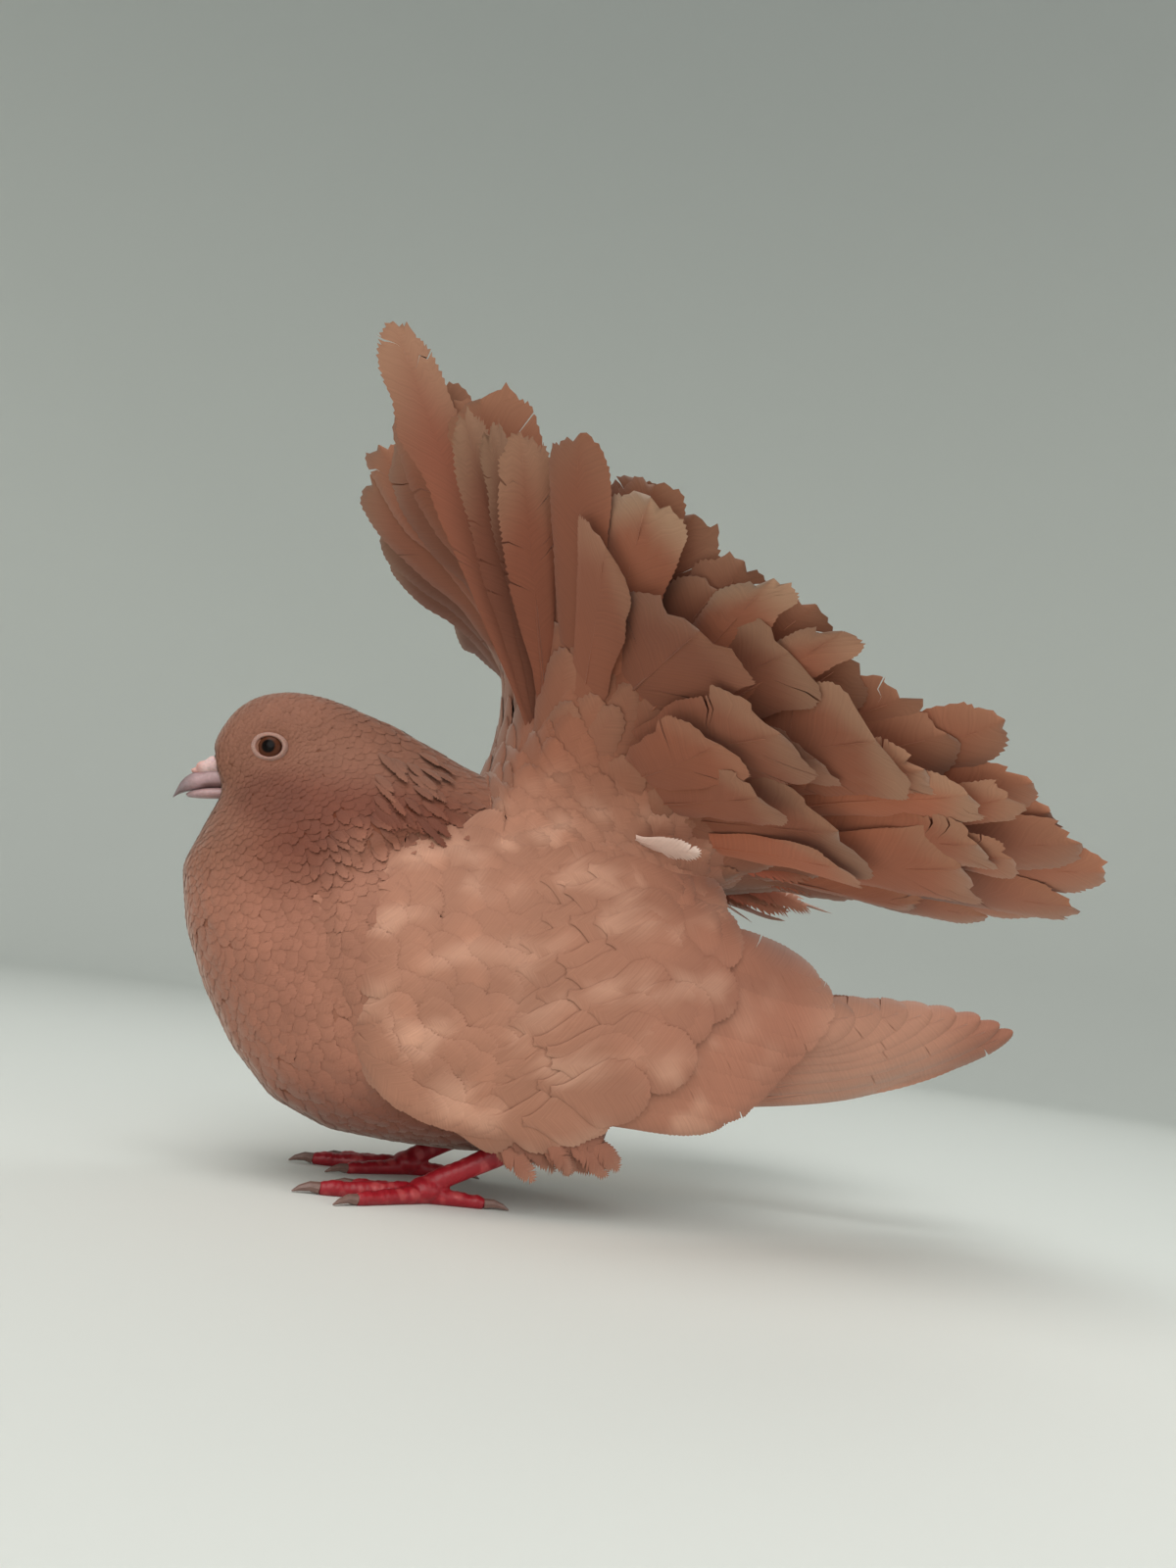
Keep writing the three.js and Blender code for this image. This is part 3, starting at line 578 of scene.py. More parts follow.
def root_lift(reach, turn):
    """How thick the soft feathers lie round the tail's root: deep by the back, thin where the fan opens,
    drawn in at the front."""
    deep = 3.5 + 13.5 * ease(reach, 82, 20)
    return mix(deep, 9 - 14 * ease(reach, 24, 50), toward_front(turn))


def back_lift(reach):
    """How thick the soft feathers lie on the fan's back: over the rounded end of the body, then thin."""
    return 2.6 + 13.0 * ease(reach, 42, 4)


# The skin
FLESH = ["head", "neck", "torso", "thigh_left", "thigh_right", "wing_left", "wing_right"]
TAIL_STUB = ((0.0, 27.0, 122.0), (17.0, 20.0, 15.0))
EYE_BEDS = [((side * 8.6, -71.5, 127.4), (4.8, 9.0, 7.8)) for side in (1, -1)]


def joined_flesh():
    """Copies of the solids of flesh in one mesh, with the tail's stub and the beds under the eyes."""
    corners, faces, count = [], [], 0
    for name in FLESH:
        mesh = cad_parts[name].data
        corners.append(raw_points(mesh))
        faces += [[v + count for v in polygon.vertices] for polygon in mesh.polygons]
        count += len(mesh.vertices)
    for centre, radii in (TAIL_STUB, *EYE_BEDS):
        form, quads, triangles = egg_form(centre, radii)
        corners.append(placed(form))
        faces += (quads + count).tolist() + (triangles + count).tolist()
        count += len(form)
    mesh = bpy.data.meshes.new("skin")
    mesh.from_pydata(np.concatenate(corners).tolist(), [], faces)
    return mesh


def make_skin():
    """One skin under all the feathers, inside the solids by the depth of the coat."""
    piece = new_object("skin", joined_flesh())
    add_melting(piece, 1.6, 22)
    inside = piece.modifiers.new("under_the_coat", "DISPLACE")
    inside.strength = -COAT_DEPTH / 1000
    inside.mid_level = 0.0
    relax = piece.modifiers.new("relaxed", "SMOOTH")
    relax.factor = 0.5
    relax.iterations = 4
    mesh = applied(piece)
    mesh.name = "skin"
    tuck_under_wings(mesh)
    return piece


def tuck_under_wings(mesh):
    """Presses the skin in behind the folded wings, so that it stays under their coverts."""
    points = mesh_points(mesh)
    y, z = points[:, 1], points[:, 2]
    from_edge = np.minimum(np.minimum(y + 46, z - follow(SHIELD_LOWER, y)), follow(SHIELD_UPPER, y) - z)
    tucked = wing_cover(points) * ease(from_edge, 0, 9)
    deepest = wing_out(y, z) - 1.5
    points[:, 0] = mix(points[:, 0], np.clip(points[:, 0], -deepest, deepest), tucked)
    move_points(mesh, placed(points))
    mesh.update()


def dress_skin(piece):
    """Gives the skin its colours, its sheet and its finish."""
    mesh = piece.data
    points = mesh_points(mesh)
    colours = body_colour(points)
    on_wing = wing_cover(points)
    colours[on_wing] = wing_colour(points[on_wing])
    paint(mesh, colours * 0.85)
    corners = corner_points(mesh)
    sizes = np.array([len(polygon.vertices) for polygon in mesh.polygons])
    centres = np.empty(len(mesh.polygons) * 3)
    mesh.polygons.foreach_get("center", centres)
    charts = np.repeat(chart_of(measured(centres.reshape(-1, 3))), sizes)
    add_map(mesh, "OFBake", unwrap(points[corners], charts))
    mesh.materials.clear()
    mesh.materials.append(downy_skin())
    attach(piece, "root")
    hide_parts(*FLESH, "tail_base")


class Surface:
    """The skin as a surface to lay feathers on, in the bird's own measure."""

    def __init__(self, mesh):
        points = mesh_points(mesh)
        faces = [tuple(polygon.vertices) for polygon in mesh.polygons]
        self.tree = BVHTree.FromPolygons(points.tolist(), faces)
        mesh.calc_loop_triangles()
        corners = np.empty(len(mesh.loop_triangles) * 3, np.int32)
        mesh.loop_triangles.foreach_get("vertices", corners)
        self.triangles = points[corners.reshape(-1, 3)]
        first, second, third = (self.triangles[:, k] for k in range(3))
        across = np.cross(second - first, third - first)
        self.areas = np.linalg.norm(across, axis=1) / 2
        self.normals = unit(across)

    def nearest(self, points):
        """The closest points of the skin, and its outward directions there."""
        found = [self.tree.find_nearest(point) for point in points.tolist()]
        return np.array([hit[0] for hit in found]), np.array([hit[1] for hit in found])

    def nearest_one(self, point):
        ground, up = self.nearest(point[None])
        return ground[0], up[0]

    def scatter(self, draw, spacing, keep):
        """Points spread over the kept part of the skin, each about `spacing(points)` from its neighbours."""
        centres = self.triangles.mean(1)
        weight = np.where(keep(centres), self.areas / spacing(centres) ** 2, 0)
        total = int(weight.sum() * 5)
        picks = draw.choice(len(weight), total, p=weight / weight.sum())
        a, b = draw.random((2, total))
        turned = a + b > 1
        a, b = np.where(turned, 1 - a, a)[:, None], np.where(turned, 1 - b, b)[:, None]
        first, second, third = (self.triangles[picks, k] for k in range(3))
        points = first + a * (second - first) + b * (third - first)
        gaps = spacing(points)
        index = KDTree(total)
        for i, point in enumerate(points.tolist()):
            index.insert(point, i)
        index.balance()
        free = np.ones(total, bool)
        chosen = []
        for i in range(total):
            if not free[i]:
                continue
            chosen.append(i)
            for _, other, _ in index.find_range(points[i].tolist(), float(gaps[i])):
                free[other] = False
        return points[chosen], self.normals[picks][chosen]


# Where the skin's places lie on the flat sheet for colours. BODY_SLICES: degrees round the pivot, distance
# of the body's back and of its front from the pivot, half width.
BODY_SLICES = [[6, 50, 90, 11], [20, 34, 105, 19], [36, 27, 128.8, 33], [58, 22, 143.5, 43],
               [82, 21.5, 139.3, 46], [105, 30, 134, 43.5], [126, 43, 110, 34], [150, 69, 75, 12]]


def unwrap_chart(points, chart):
    """Places on an unrolled skin: head and body turned off like a rind, and each wing laid flat."""
    x, y, z = points[..., 0], points[..., 1], points[..., 2]
    if chart == "head":
        turn = np.arctan2(x, 127 - z) / (2 * math.pi) + 0.5
        return np.stack([0.02 + 0.2 * np.clip((y + 98) / 60, 0, 1), 0.02 + 0.56 * turn], -1)
    if chart in SIDES:
        start = 0.02 if chart == "left" else 0.52
        along = np.clip((y + 60) / 270, 0, 1)
        return np.stack([start + 0.45 * along, 0.63 + 0.35 * np.clip(z / 140, 0, 1)], -1)
    degrees = np.degrees(np.arctan2(PIVOT[1] - z, PIVOT[0] - y))
    reach = np.hypot(PIVOT[1] - z, PIVOT[0] - y)
    back, front, wide = (follow(BODY_SLICES, degrees, column) for column in (1, 2, 3))
    inward = (reach - (back + front) / 2) / ((front - back) / 2)
    turn = np.arctan2(x / wide, inward) / (2 * math.pi) + 0.5
    return np.stack([0.25 + 0.73 * np.clip((degrees + 20) / 220, 0, 1), 0.02 + 0.56 * turn], -1)


def chart_of(points):
    """The sheet's part that each place belongs to."""
    x, y, z = points[..., 0], points[..., 1], points[..., 2]
    charts = np.full(x.shape, "body", dtype=object)
    charts[(y < -58) & (z > 100)] = "head"
    on_wing = wing_cover(points)
    charts[on_wing & (x > 0)] = "left"
    charts[on_wing & (x <= 0)] = "right"
    return charts


def unwrap(points, charts):
    """Places on the flat sheet of points whose parts are known."""
    places = np.zeros(points.shape[:-1] + (2,))
    for chart in ("head", "body", "left", "right"):
        chosen = charts == chart
        if chosen.any():
            places[chosen] = unwrap_chart(points[chosen], chart)
    return places


def wing_spot(side_name, y, z):
    """The patch of one covert on its wing's part of the sheet."""
    return (*unwrap_chart(np.array([0.0, y, z]), side_name), 0.02, 0.012)


def spare_spot(draw):
    """A small patch on the strip of the sheet kept for the tail's soft feathers."""
    return 0.01 + 0.96 * draw.random(), 0.86 + 0.12 * draw.random(), 0.02, 0.01


# Small feathers laid on the skin
# The form of a body feather: distance along it, half width. The fringed one has a loose, stepped end.
SMALL_LEAF = [[0.0, 0.3], [0.3, 0.85], [0.55, 1.0], [0.74, 0.9], [0.86, 0.66], [0.94, 0.4], [1.0, 0.14]]
FRINGED_LEAF = [[0.0, 0.3], [0.35, 0.9], [0.58, 1.0], [0.7, 0.82], [0.76, 0.94], [0.84, 0.6], [0.9, 0.7],
                [0.95, 0.3], [1.0, 0.1]]
LEAF_RISE = 0.24
LEAF_THICKNESS = 0.05
LEAF_CROWN = 0.05
PALE_TIP = 0.03


def leaf_form(profile):
    """A small closed feather: points along 0..1, across -1..1 and up, with its faces."""
    points = [(along + 0.05 * (1 - abs(v)) * half, v * half, (1 - v * v) * sheet)
              for sheet in (1, -1) for along, half in profile for v in (-1, 0, 1)]
    return np.array(points), grid_quads(len(profile), 3)


def body_flow(points, normals):
    """The lie of the coat: back from the bill over the head, then down and round to the tail."""
    from_bill = points - BILL_ROOT
    distance = np.linalg.norm(from_bill, axis=1)
    from_pivot = points[:, 1:] - PIVOT
    turning = np.stack([np.zeros(len(points)), -from_pivot[:, 1], from_pivot[:, 0]], 1)
    way = mix(unit(from_bill), unit(turning), ease(distance, 26, 66)[:, None])
    lift = over_cone(points)[1][:, 0]
    on_tail = ease(lift, 13, 9.5) * ease(points[:, 2], 84, 104)
    way = mix(way, unit(points - TAIL_ROOT), on_tail[:, None])
    way -= (way * normals).sum(1, keepdims=True) * normals
    return unit(way)


def lay_feathers(gathering, draw, skin, roots, normals, ways, lengths, widths, lifted, profile):
    """Lays closed feathers on the skin, root under and tip over the next ones; `lifted` ones stand off, with
    painted shade at their roots.
    """
    form, quads = leaf_form(profile)
    count, size = len(roots), len(form)
    half = size // 2
    sheet = np.where(np.arange(size) < half, 1.0, -1.0)
    rim = np.abs(form[:, 2]) < 1e-6
    worn = np.tile(draw.normal(0, 1, (count, half)), 2) * rim * (form[:, 0] > 0.3)
    along = form[:, 0] + 0.01 * worn
    across = form[:, 1] * (1 + 0.08 * worn)
    beside = np.cross(normals, ways)
    bend = draw.normal(0, 0.12, (count, 1)) * along**2
    flat = (roots[:, None] + ways[:, None] * (along * lengths[:, None])[..., None]
            + beside[:, None] * ((across + bend) * widths[:, None])[..., None])
    ground, up = (rows.reshape(count, size, 3) for rows in skin.nearest(flat.reshape(-1, 3)))
    height = (LEAF_RISE * form[:, 0] ** 1.2 + 0.5 * LEAF_THICKNESS * sheet
              + LEAF_CROWN * (1 - form[:, 1] ** 2) * form[:, 0])
    height = height[None] + 0.06 * draw.random((count, 1)) + lifted[:, None] * form[:, 0][None] ** 2
    points = ground + up * height[..., None]
    shade = draw.normal(0, 0.02, (count, 1)) + PALE_TIP * np.clip(form[:, 0] - 0.6, 0, 1)[None] / 0.4
    # painted shade: the roots of lifted feathers are darkened, for the shade in the gaps between them
    shade = shade - 0.4 * np.minimum(lifted, 1)[:, None] * (0.75 - form[:, 0])[None]
    tints = lit(body_colour(points), shade)
    place = (unwrap(roots, chart_of(roots))[:, None]
             + 0.0015 * np.stack([form[:, 0] * 2 - 1, form[:, 1]], -1)[None])
    combed = along * lengths[:, None] - 0.6 * np.abs(across) * widths[:, None] + draw.random((count, 1)) * 400
    comb = np.stack([across * widths[:, None], combed], -1)
    facing = unit(up + 0.03 * draw.normal(0, 1, (count, 1, 3))
                  + 0.06 * form[:, 1][None, :, None] * beside[:, None]
                  + 0.05 * form[:, 0][None, :, None] * ways[:, None])
    whole = (facing * normals[:, None]).sum(-1).min(1) > 0.35
    edge = (np.sign(form[:, 1]) * rim)[None, :, None] * beside[:, None]
    facing = unit(facing * sheet[None, :, None] + 0.16 * edge)
    points, tints, place, comb, facing = (rows[whole] for rows in (points, tints, place, comb, facing))
    offsets = (np.arange(len(points)) * size)[:, None, None]
    gathering.add(points, quads[None] + offsets, [], tints.reshape(-1, 3), place.reshape(-1, 2),
                  comb.reshape(-1, 2), facing.reshape(-1, 3))


def eye_distance(points):
    """Distance from the nearer eye's middle, measured over the side of the head."""
    from_eye = np.hypot(points[:, 1] - EYE[1], (points[:, 2] - EYE[2]) * 1.12)
    return from_eye + 40 * (np.abs(points[:, 0]) < 6)


def feather_size(points):
    """Length of the small feathers by place: shortest round the bill and eye, longest low on the breast."""
    from_bill = np.linalg.norm(points - BILL_ROOT, axis=1)
    length = mix(1.9, 3.4, ease(from_bill, 3, 26))
    length = mix(length, 6.2, ease(from_bill, 28, 60))
    length = mix(length, 8.6, ease(from_bill, 58, 105))
    return np.minimum(length, mix(1.8, 12, ease(eye_distance(points), 6.5, 40)))


def feather_spacing(points):
    size = feather_size(points)
    return size * mix(0.4, 0.36, ease(size, 4, 8))


def feathered(points):
    """Where small feathers grow: not under the bill, on the eye's ring, under the wing or by the floor."""
    y, z = points[:, 1], points[:, 2]
    under_bill = (y < -88.2) & (np.abs(z - 114) < 8.8)
    ring = eye_distance(points) < 4.6
    under_wing = wing_cover(points, 3) & (y > -30)
    return ~(under_bill | ring | under_wing) & (z > 6)


def neck_side(points):
    """Where the drawn-in neck loosens its feathers: a band from the throat's side back to the wing's top."""
    y, z = points[:, 1], points[:, 2]
    line = 104 + 0.28 * (y + 40)
    on_side = ease(np.abs(points[:, 0]), 12, 20)
    return ease(np.abs(z - line), 13, 5) * ease(y, -66, -50) * ease(y, -8, -16) * on_side


def make_coat(skin):
    """The small feathers of head, neck, breast, belly and back, by region."""
    draw = np.random.default_rng(11)
    roots, normals = skin.scatter(draw, feather_spacing, feathered)
    lengths = feather_size(roots) * draw.uniform(0.9, 1.15, len(roots))
    ways = body_flow(roots, normals)
    side = np.cross(normals, ways)
    ways = unit(ways + side * draw.normal(0, 0.1, (len(roots), 1)) * (1 + 2 * neck_side(roots))[:, None])
    widths = lengths * mix(0.42, 0.36, ease(lengths, 3, 9))
    loosened = neck_side(roots) * draw.random(len(roots))
    lengths = lengths * (1 + 0.5 * loosened)
    widths = widths * (1 - 0.5 * loosened)
    on_head = (roots[:, 1] < -58) & (roots[:, 2] > 102)
    region = np.where(on_head, "coat_head", np.where(roots[:, 2] > 84, "coat_neck_back", "coat_breast_belly"))
    material = contour_feather()
    for name in ("coat_head", "coat_neck_back", "coat_breast_belly"):
        here = region == name
        gathering = Gathering()
        chosen = [rows[here] for rows in (roots, normals, ways, lengths, widths, 1.3 * loosened)]
        lay_feathers(gathering, draw, skin, *chosen, SMALL_LEAF if name == "coat_head" else FRINGED_LEAF)
        if name == "coat_neck_back":
            lay_hackle(gathering, draw, skin)
        gathering.piece(name, material, "body_plumage")


# Large feathers, barb by barb
# How far a barb's tip lies ahead of its root, for its length
BARB_SWEEP = 0.8
# Feathers too small or too soft for a shaft that shows
SOFT = {"columns": 3, "splits": 0, "shaft": 0}


def flight_shape(narrow, widest, blunt):
    """Half width of a flight feather along it: narrow quill, widest part, rounded or blunt tip."""
    def shape(t):
        rise = mix(narrow, 1.0, ease(t, 0.02, widest))
        closing = np.clip((t - widest) / (1 - widest), 0, 1)
        return rise * np.sqrt(np.maximum(1 - closing**blunt, 0))
    return shape


def fan_shape(narrow, blunt):
    """Half width of a feather that widens evenly to a square end."""
    def shape(t):
        return mix(narrow, 1.0, t**0.85) * np.sqrt(np.maximum(1 - t**blunt, 0))
    return shape


SOFT_SHAPE = flight_shape(0.4, 0.6, 2.0)


def slow_chance(draw, count, knots):
    """A chance that drifts slowly along a feather's edge."""
    return np.interp(np.linspace(0, 1, count), np.linspace(0, 1, knots), draw.normal(0, 1, knots))


def upward(surface, along, across, slope):
    """A feather's upward directions, from the surface that carries it, and whether it is mirrored."""
    here = surface(along, across, 0 * along)
    ahead = surface(along + 0.5, across, 0 * along) - here
    aside = surface(along, across + 0.5, 0 * along) - here
    up = surface(along, across, 0 * along + 0.5) - here
    facing = np.cross(ahead, aside)
    hand = np.sign((facing * up).sum(-1, keepdims=True))
    return unit(unit(facing) * hand + unit(aside) * slope[..., None]), unit(aside), float(hand.mean()) < 0


def vane(gathering, draw, surface, length, half, patch, tint, rows, shape, teeth, splits, columns=4,
         ragged=0.03, thick=0.24, camber=0.6, shaft=0.5, slant=0.0, notch=0.0):
    """One large feather. `surface(along, across, height)` carries it; `shape` gives its half width along it.
    `tint(points, along, across)` colours it; `patch` is its place on the flat sheet for colours. `teeth` fray
    its edge barb by barb, `ragged` slowly; `splits` part its barbs, `notch` and `slant` cut its end."""
    edge = 1 - (1 - np.linspace(0.0, 1.0, rows)) ** 1.5
    ends = draw.normal(0, notch, 11)
    for side in (-1.0, 1.0):
        frayed = teeth * (np.arange(rows) % 2 - 0.5) * draw.uniform(0.3, 1.4, rows) * ease(edge, 0.3, 0.7)
        wide = half * shape(edge) * (1 + ragged * slow_chance(draw, rows, 11)) + 0.6 * frayed
        wide = np.maximum(wide, 0.03)
        out = edge * length + 0.7 * frayed
        start = np.clip(out - BARB_SWEEP * wide, 0.012 * length, length)
        cuts = np.sort(draw.choice(np.arange(rows // 3, rows - 4), splits, replace=False)) if splits else []
        bounds = [0, *cuts, rows - 1]
        for first, last in zip(bounds[:-1], bounds[1:]):
            i = np.arange(first, last + 1)
            wide_here, start_here, out_here = (values[i][:, None] for values in (wide, start, out))
            q = np.linspace(0, 1, columns)[None]
            part = np.linspace(0, 1, len(i))[:, None]
            opened = draw.uniform(0.1, 0.7) * (1 if splits else 0)
            drift = (1 - 2 * part) * opened * q**2 * np.where(part < 0.5, first > 0, last < rows - 1)
            along = mix(start_here, out_here, q**0.85) + drift
            across = side * wide_here * q
            far = ease(along / length, 0.5, 1.0)
            along = along + (slant * across + np.interp(across / half, np.linspace(-1, 1, 11), ends)) * far
            middle = camber * (1 - q**2) * wide_here / half
            depth = 0.5 * thick * (1 - 0.8 * q)
            top = surface(along, across, middle + depth)
            low = surface(along, across, middle - depth)
            colour = tint(top, along / length, q + 0 * along)
            beside = 0.5 + 0.5 * side * q * wide_here / wide.max()
            place = np.stack([patch[0] + patch[2] * np.clip(along / length, 0, 1),
                              patch[1] + patch[3] * beside], -1)
            comb = np.stack([across, start_here + 0 * q + patch[0] * 900 + side * 7], -1)
            slope = side * 2 * camber * q / np.maximum(wide_here, 2.0)
            facing, aside, mirrored = upward(surface, along, across, slope)
            rim = side * 0.25 * (q**6)[..., None] * aside
            quads = grid_quads(len(i), columns)
            if (side < 0) != mirrored:
                quads = quads[:, ::-1]
            sheets = [np.concatenate([one.reshape(-1, one.shape[-1])] * 2) for one in (colour, place, comb)]
            outward = unit(np.concatenate([(facing + rim).reshape(-1, 3), (rim - facing).reshape(-1, 3)]))
            both = np.concatenate([top.reshape(-1, 3), low.reshape(-1, 3)])
            gathering.add(both, quads, [], *sheets, outward)
    if shaft:
        quill(gathering, surface, length, shaft, camber, tint, patch)


def quill(gathering, surface, length, shaft, camber, tint, patch):
    """The shaft of a large feather, tapering to its tip."""
    rings, sides = 18, 6
    t = np.linspace(0, 0.94, rings)[:, None]
    angle = full_turn(sides)[None]
    radius = shaft * (1 - 0.85 * t)
    height = camber * 0.9 + 0.45 * radius * np.sin(angle)
    points = surface(t * length + 0 * angle, radius * np.cos(angle), height)
    colour = tint(points, t + 0 * angle, 0 * t * angle)
    ends = np.stack([points[0].mean(0), points[-1].mean(0)])
    colours = np.concatenate([colour.reshape(-1, 3), colour[0, :1], colour[-1, :1]])
    middle = (patch[0] + 0.5 * patch[2], patch[1] + 0.5 * patch[3])
    gathering.add(np.concatenate([points.reshape(-1, 3), ends]), *tube_faces(rings, sides), colours, middle)


def faded(colour, tip_colour, amount=0.9, start=0.72):
    """Colours a feather evenly, paler toward its tip."""
    def tint(points, t, q):
        toward_tip = (amount * ease(t + 0.12 * q, start, 1.05))[..., None]
        return mix(colour, tip_colour, toward_tip) * (1 + 0.05 * wave_noise(points, 18, 3)[..., None])
    return tint


def shaded(colour, tip_colour, dark):
    """Colours a fan feather: painted shade darkens it where the looser ones lie over it; paler at its tip."""
    def tint(points, t, q):
        base = mix(colour * dark, colour, ease(t, 0.72, 0.9)[..., None])
        return mix(base, tip_colour, (0.7 * ease(t + 0.08 * q, 0.84, 1.05))[..., None])
    return tint


def leaf_surface(root, upper, lower, outside, arch=0.0, curl=0.0, clear=None):
    """Carries one feather flat from its root to the two corners of its end, arched and curled toward
    `outside`. With `clear` given, it keeps so far over the near face of the spread fan."""
    root, upper, lower = (np.asarray(point, float) for point in (root, upper, lower))
    end, aside = (upper + lower) / 2, (lower - upper) / 2
    length, half = np.linalg.norm(end - root), np.linalg.norm(aside)
    away = unit(np.cross(end - root, aside))
    away = away * np.sign(away @ outside)

    def surface(along, across, height):
        t, s = along / length, across / half
        rise = arch * 4 * t * (1 - t) + curl * ease(t, 0.55, 1.1)
        place = root + (end - root) * t[..., None] + aside * s[..., None] + away * rise[..., None]
        if clear is not None:
            outward, lift = over_cone(place)
            place = place + outward * np.maximum(clear - lift, 0)
        return place + away * (height + 0 * along)[..., None]
    return surface, length, half


def lay_hackle(gathering, draw, skin):
    """Slender feathers at the back of the drawn-in neck, whose tips stand free and leave dark gaps."""
    for k in range(56):
        side = 1 if k % 2 else -1
        start = np.array([side * draw.uniform(3, 27), draw.uniform(-40, -22), 0.0])
        start[2] = 128 - 0.62 * abs(start[0]) - 0.2 * (start[1] + 40)
        ground, up = skin.nearest_one(start)
        way = body_flow(ground[None], up[None])[0]
        ahead, up_ahead = skin.nearest_one(ground + way * draw.uniform(9, 15))
        tip = ahead + up_ahead * draw.uniform(0.5, 1.7)
        wide = np.cross(up_ahead, way) * draw.uniform(1.0, 1.7)
        surface, length, half = leaf_surface(ground - up * 0.3, tip - wide, tip + wide, up, 0.9, 0.5)
        colour = body_colour(ground[None])[0] * (1 + 0.07 * draw.normal())
        spot = (*unwrap(ground[None], chart_of(ground[None]))[0], 0.006, 0.003)
        vane(gathering, draw, surface, length, half, spot, faded(colour * 0.92, colour * 1.08), rows=20,
             shape=flight_shape(0.4, 0.5, 1.7), ragged=0.1, teeth=0.8, thick=0.1, camber=0.3, **SOFT)


# Tail
# The left half's own feathers by degrees round the tail, and the right half's: its first, its last, how many
LEFT_FLIGHTS = [3, 10, 17, 24, 31, 51, 57, 63, 69, 75, 81, 87, 93, 99, 105, 111, 117, 123, 129, 135, 141, 147,
                152, 157]
RIGHT_FLIGHTS = (4.5, 143, 21)
# Feathers that close the gap in the left half behind the long ones, coloured dark as painted shade
UNDER_FLIGHTS = (33, 38, 43, 48)
# Long feathers at its front, turned flat to the side: turn, reach and lift of the end, half width, slant of
# the end, narrowness of the root, brightness. The first is the long stray one.
SIDEWAYS = np.array([0.29, 0.82, 0.49])
FRONT_FEATHERS = [
    ((21, 165, 9), 8.6, 3.5, 0.5, 1.15),
    ((31, 137, 7), 6.5, 0.5, 0.6, 0.9),
    ((36, 133, 6), 5.0, -0.5, 0.6, 0.75),
    ((44, 134, 9), 8.5, 1.5, 0.16, 1.2)]
# Looser feathers over them: turn, reach and lift of the root and of the end's upper and lower corner, then
# brightness, partly own tone and partly painted light and shade, and paleness of the end, partly a painted
# highlight where a curled edge catches light
FLAPS = [
    ((60, 42, 4), (48, 136, 6), (59, 140, 6), 0.95, 0.2),
    ((62, 42, 6), (55, 121, 8), (68, 107, 10), 1.05, 0.35),
    ((66, 60, 1), (58, 129, 3), (71, 134, 4), 1.15, 1.0),
    ((72, 64, 3), (66, 108, 7), (92, 118, 15), 0.9, 0.2),
    ((80, 60, 1), (78, 125, 4), (87, 140, 6), 1.1, 0.9),
    ((80, 60, 3), (82, 122, 7), (99, 122, 10), 0.85, 0.5),
    ((88, 60, 2), (89, 129, 5), (96, 141, 6), 0.95, 0.6),
    ((84, 50, 7), (87, 105, 15), (109, 110, 17), 1.0, 0.5),
    ((92, 55, 3), (98, 104, 8), (114, 110, 9), 1.1, 0.4),
    ((90, 46, 9), (84, 86, 17), (103, 96, 20), 1.05, 0.3),
    ((102, 44, 9), (98, 88, 17), (114, 94, 19), 0.95, 0.5),
    ((112, 44, 6), (105, 97, 12), (133, 110, 15), 0.85, 0.5),
    ((128, 44, 8), (120, 92, 15), (133, 106, 17), 1.25, 0.6),
    ((100, 66, 3), (96, 128, 8), (117, 128, 13), 0.95, 0.7),
    ((110, 76, 3), (107, 129, 6), (119, 132, 8), 1.2, 0.7),
    ((118, 76, 3), (113, 134, 7), (123, 142, 10), 1.1, 0.8),
    ((124, 90, 3), (117, 145, 6), (125, 151, 7), 1.0, 0.6),
    ((126, 80, 3), (121, 134, 9), (132, 140, 11), 1.0, 0.6),
    ((136, 66, 4), (123, 127, 10), (140, 137, 13), 1.0, 0.5),
    ((132, 90, 3), (125, 141, 8), (135, 147, 9), 1.05, 0.5),
    ((148, 60, 2), (146, 118, 6), (156, 116, 4), 0.95, 0.3)]
# How many flaps the far half goes without, at its front, where they would show beside the neck
FLAPS_LEFT_OUT = 5
# Soft feathers in rings: how many, distance of their roots and of their tips from the tail's root
ROOT_RINGS = ((34, 42, 94), (30, 34, 82), (26, 27, 71), (22, 20, 60))
BACK_RINGS = ((26, 20, 52), (22, 14, 41), (17, 9, 31), (12, 5, 22))
# The one white feather by the tail's root: turn, reach and lift of its root and of its end's corners
WHITE_PLACES = ((108, 40, 19), (114, 62, 20), (121, 58, 21))


def tail_surface(turn, root, length, lift, curl, bend, shingle):
    """Carries one tail feather: it starts at `root`, curls off the cone toward its tip and bends sideways."""
    def surface(along, across, height):
        t = along / length
        reach = root + along - 0.25 * np.abs(curl) * t**4
        degrees = turn + bend * t**2 + np.degrees(across / np.maximum(reach, 14) / math.sin(TAIL_CONE))
        return tail_point(degrees, reach, lift(t) + curl * t**3 + shingle * across + height)
    return surface


def tip_curl(turn):
    """How far the tips curl toward the neck: most of all at the fan's front."""
    return 14 * np.exp(-(((turn + 16) / 15) ** 2))


def tail_feather_colour(turn):
    """Ochre red, darker on the far side as painted shade, paler toward the rear as painted light."""
    return mix(TAIL_OCHRE, TAIL_DEEP, 0.5 * ease(-turn, -10, 40)) * (1 + 0.42 * ease(abs(turn), 72, 125))


def tail_spots():
    """Patches on the sheet for the tail's large feathers, row by row."""
    for k in range(140):
        yield 0.01 + 0.98 * (k % 10) / 10, 0.01 + 0.78 * (k // 10) / 14, 0.09, 0.05


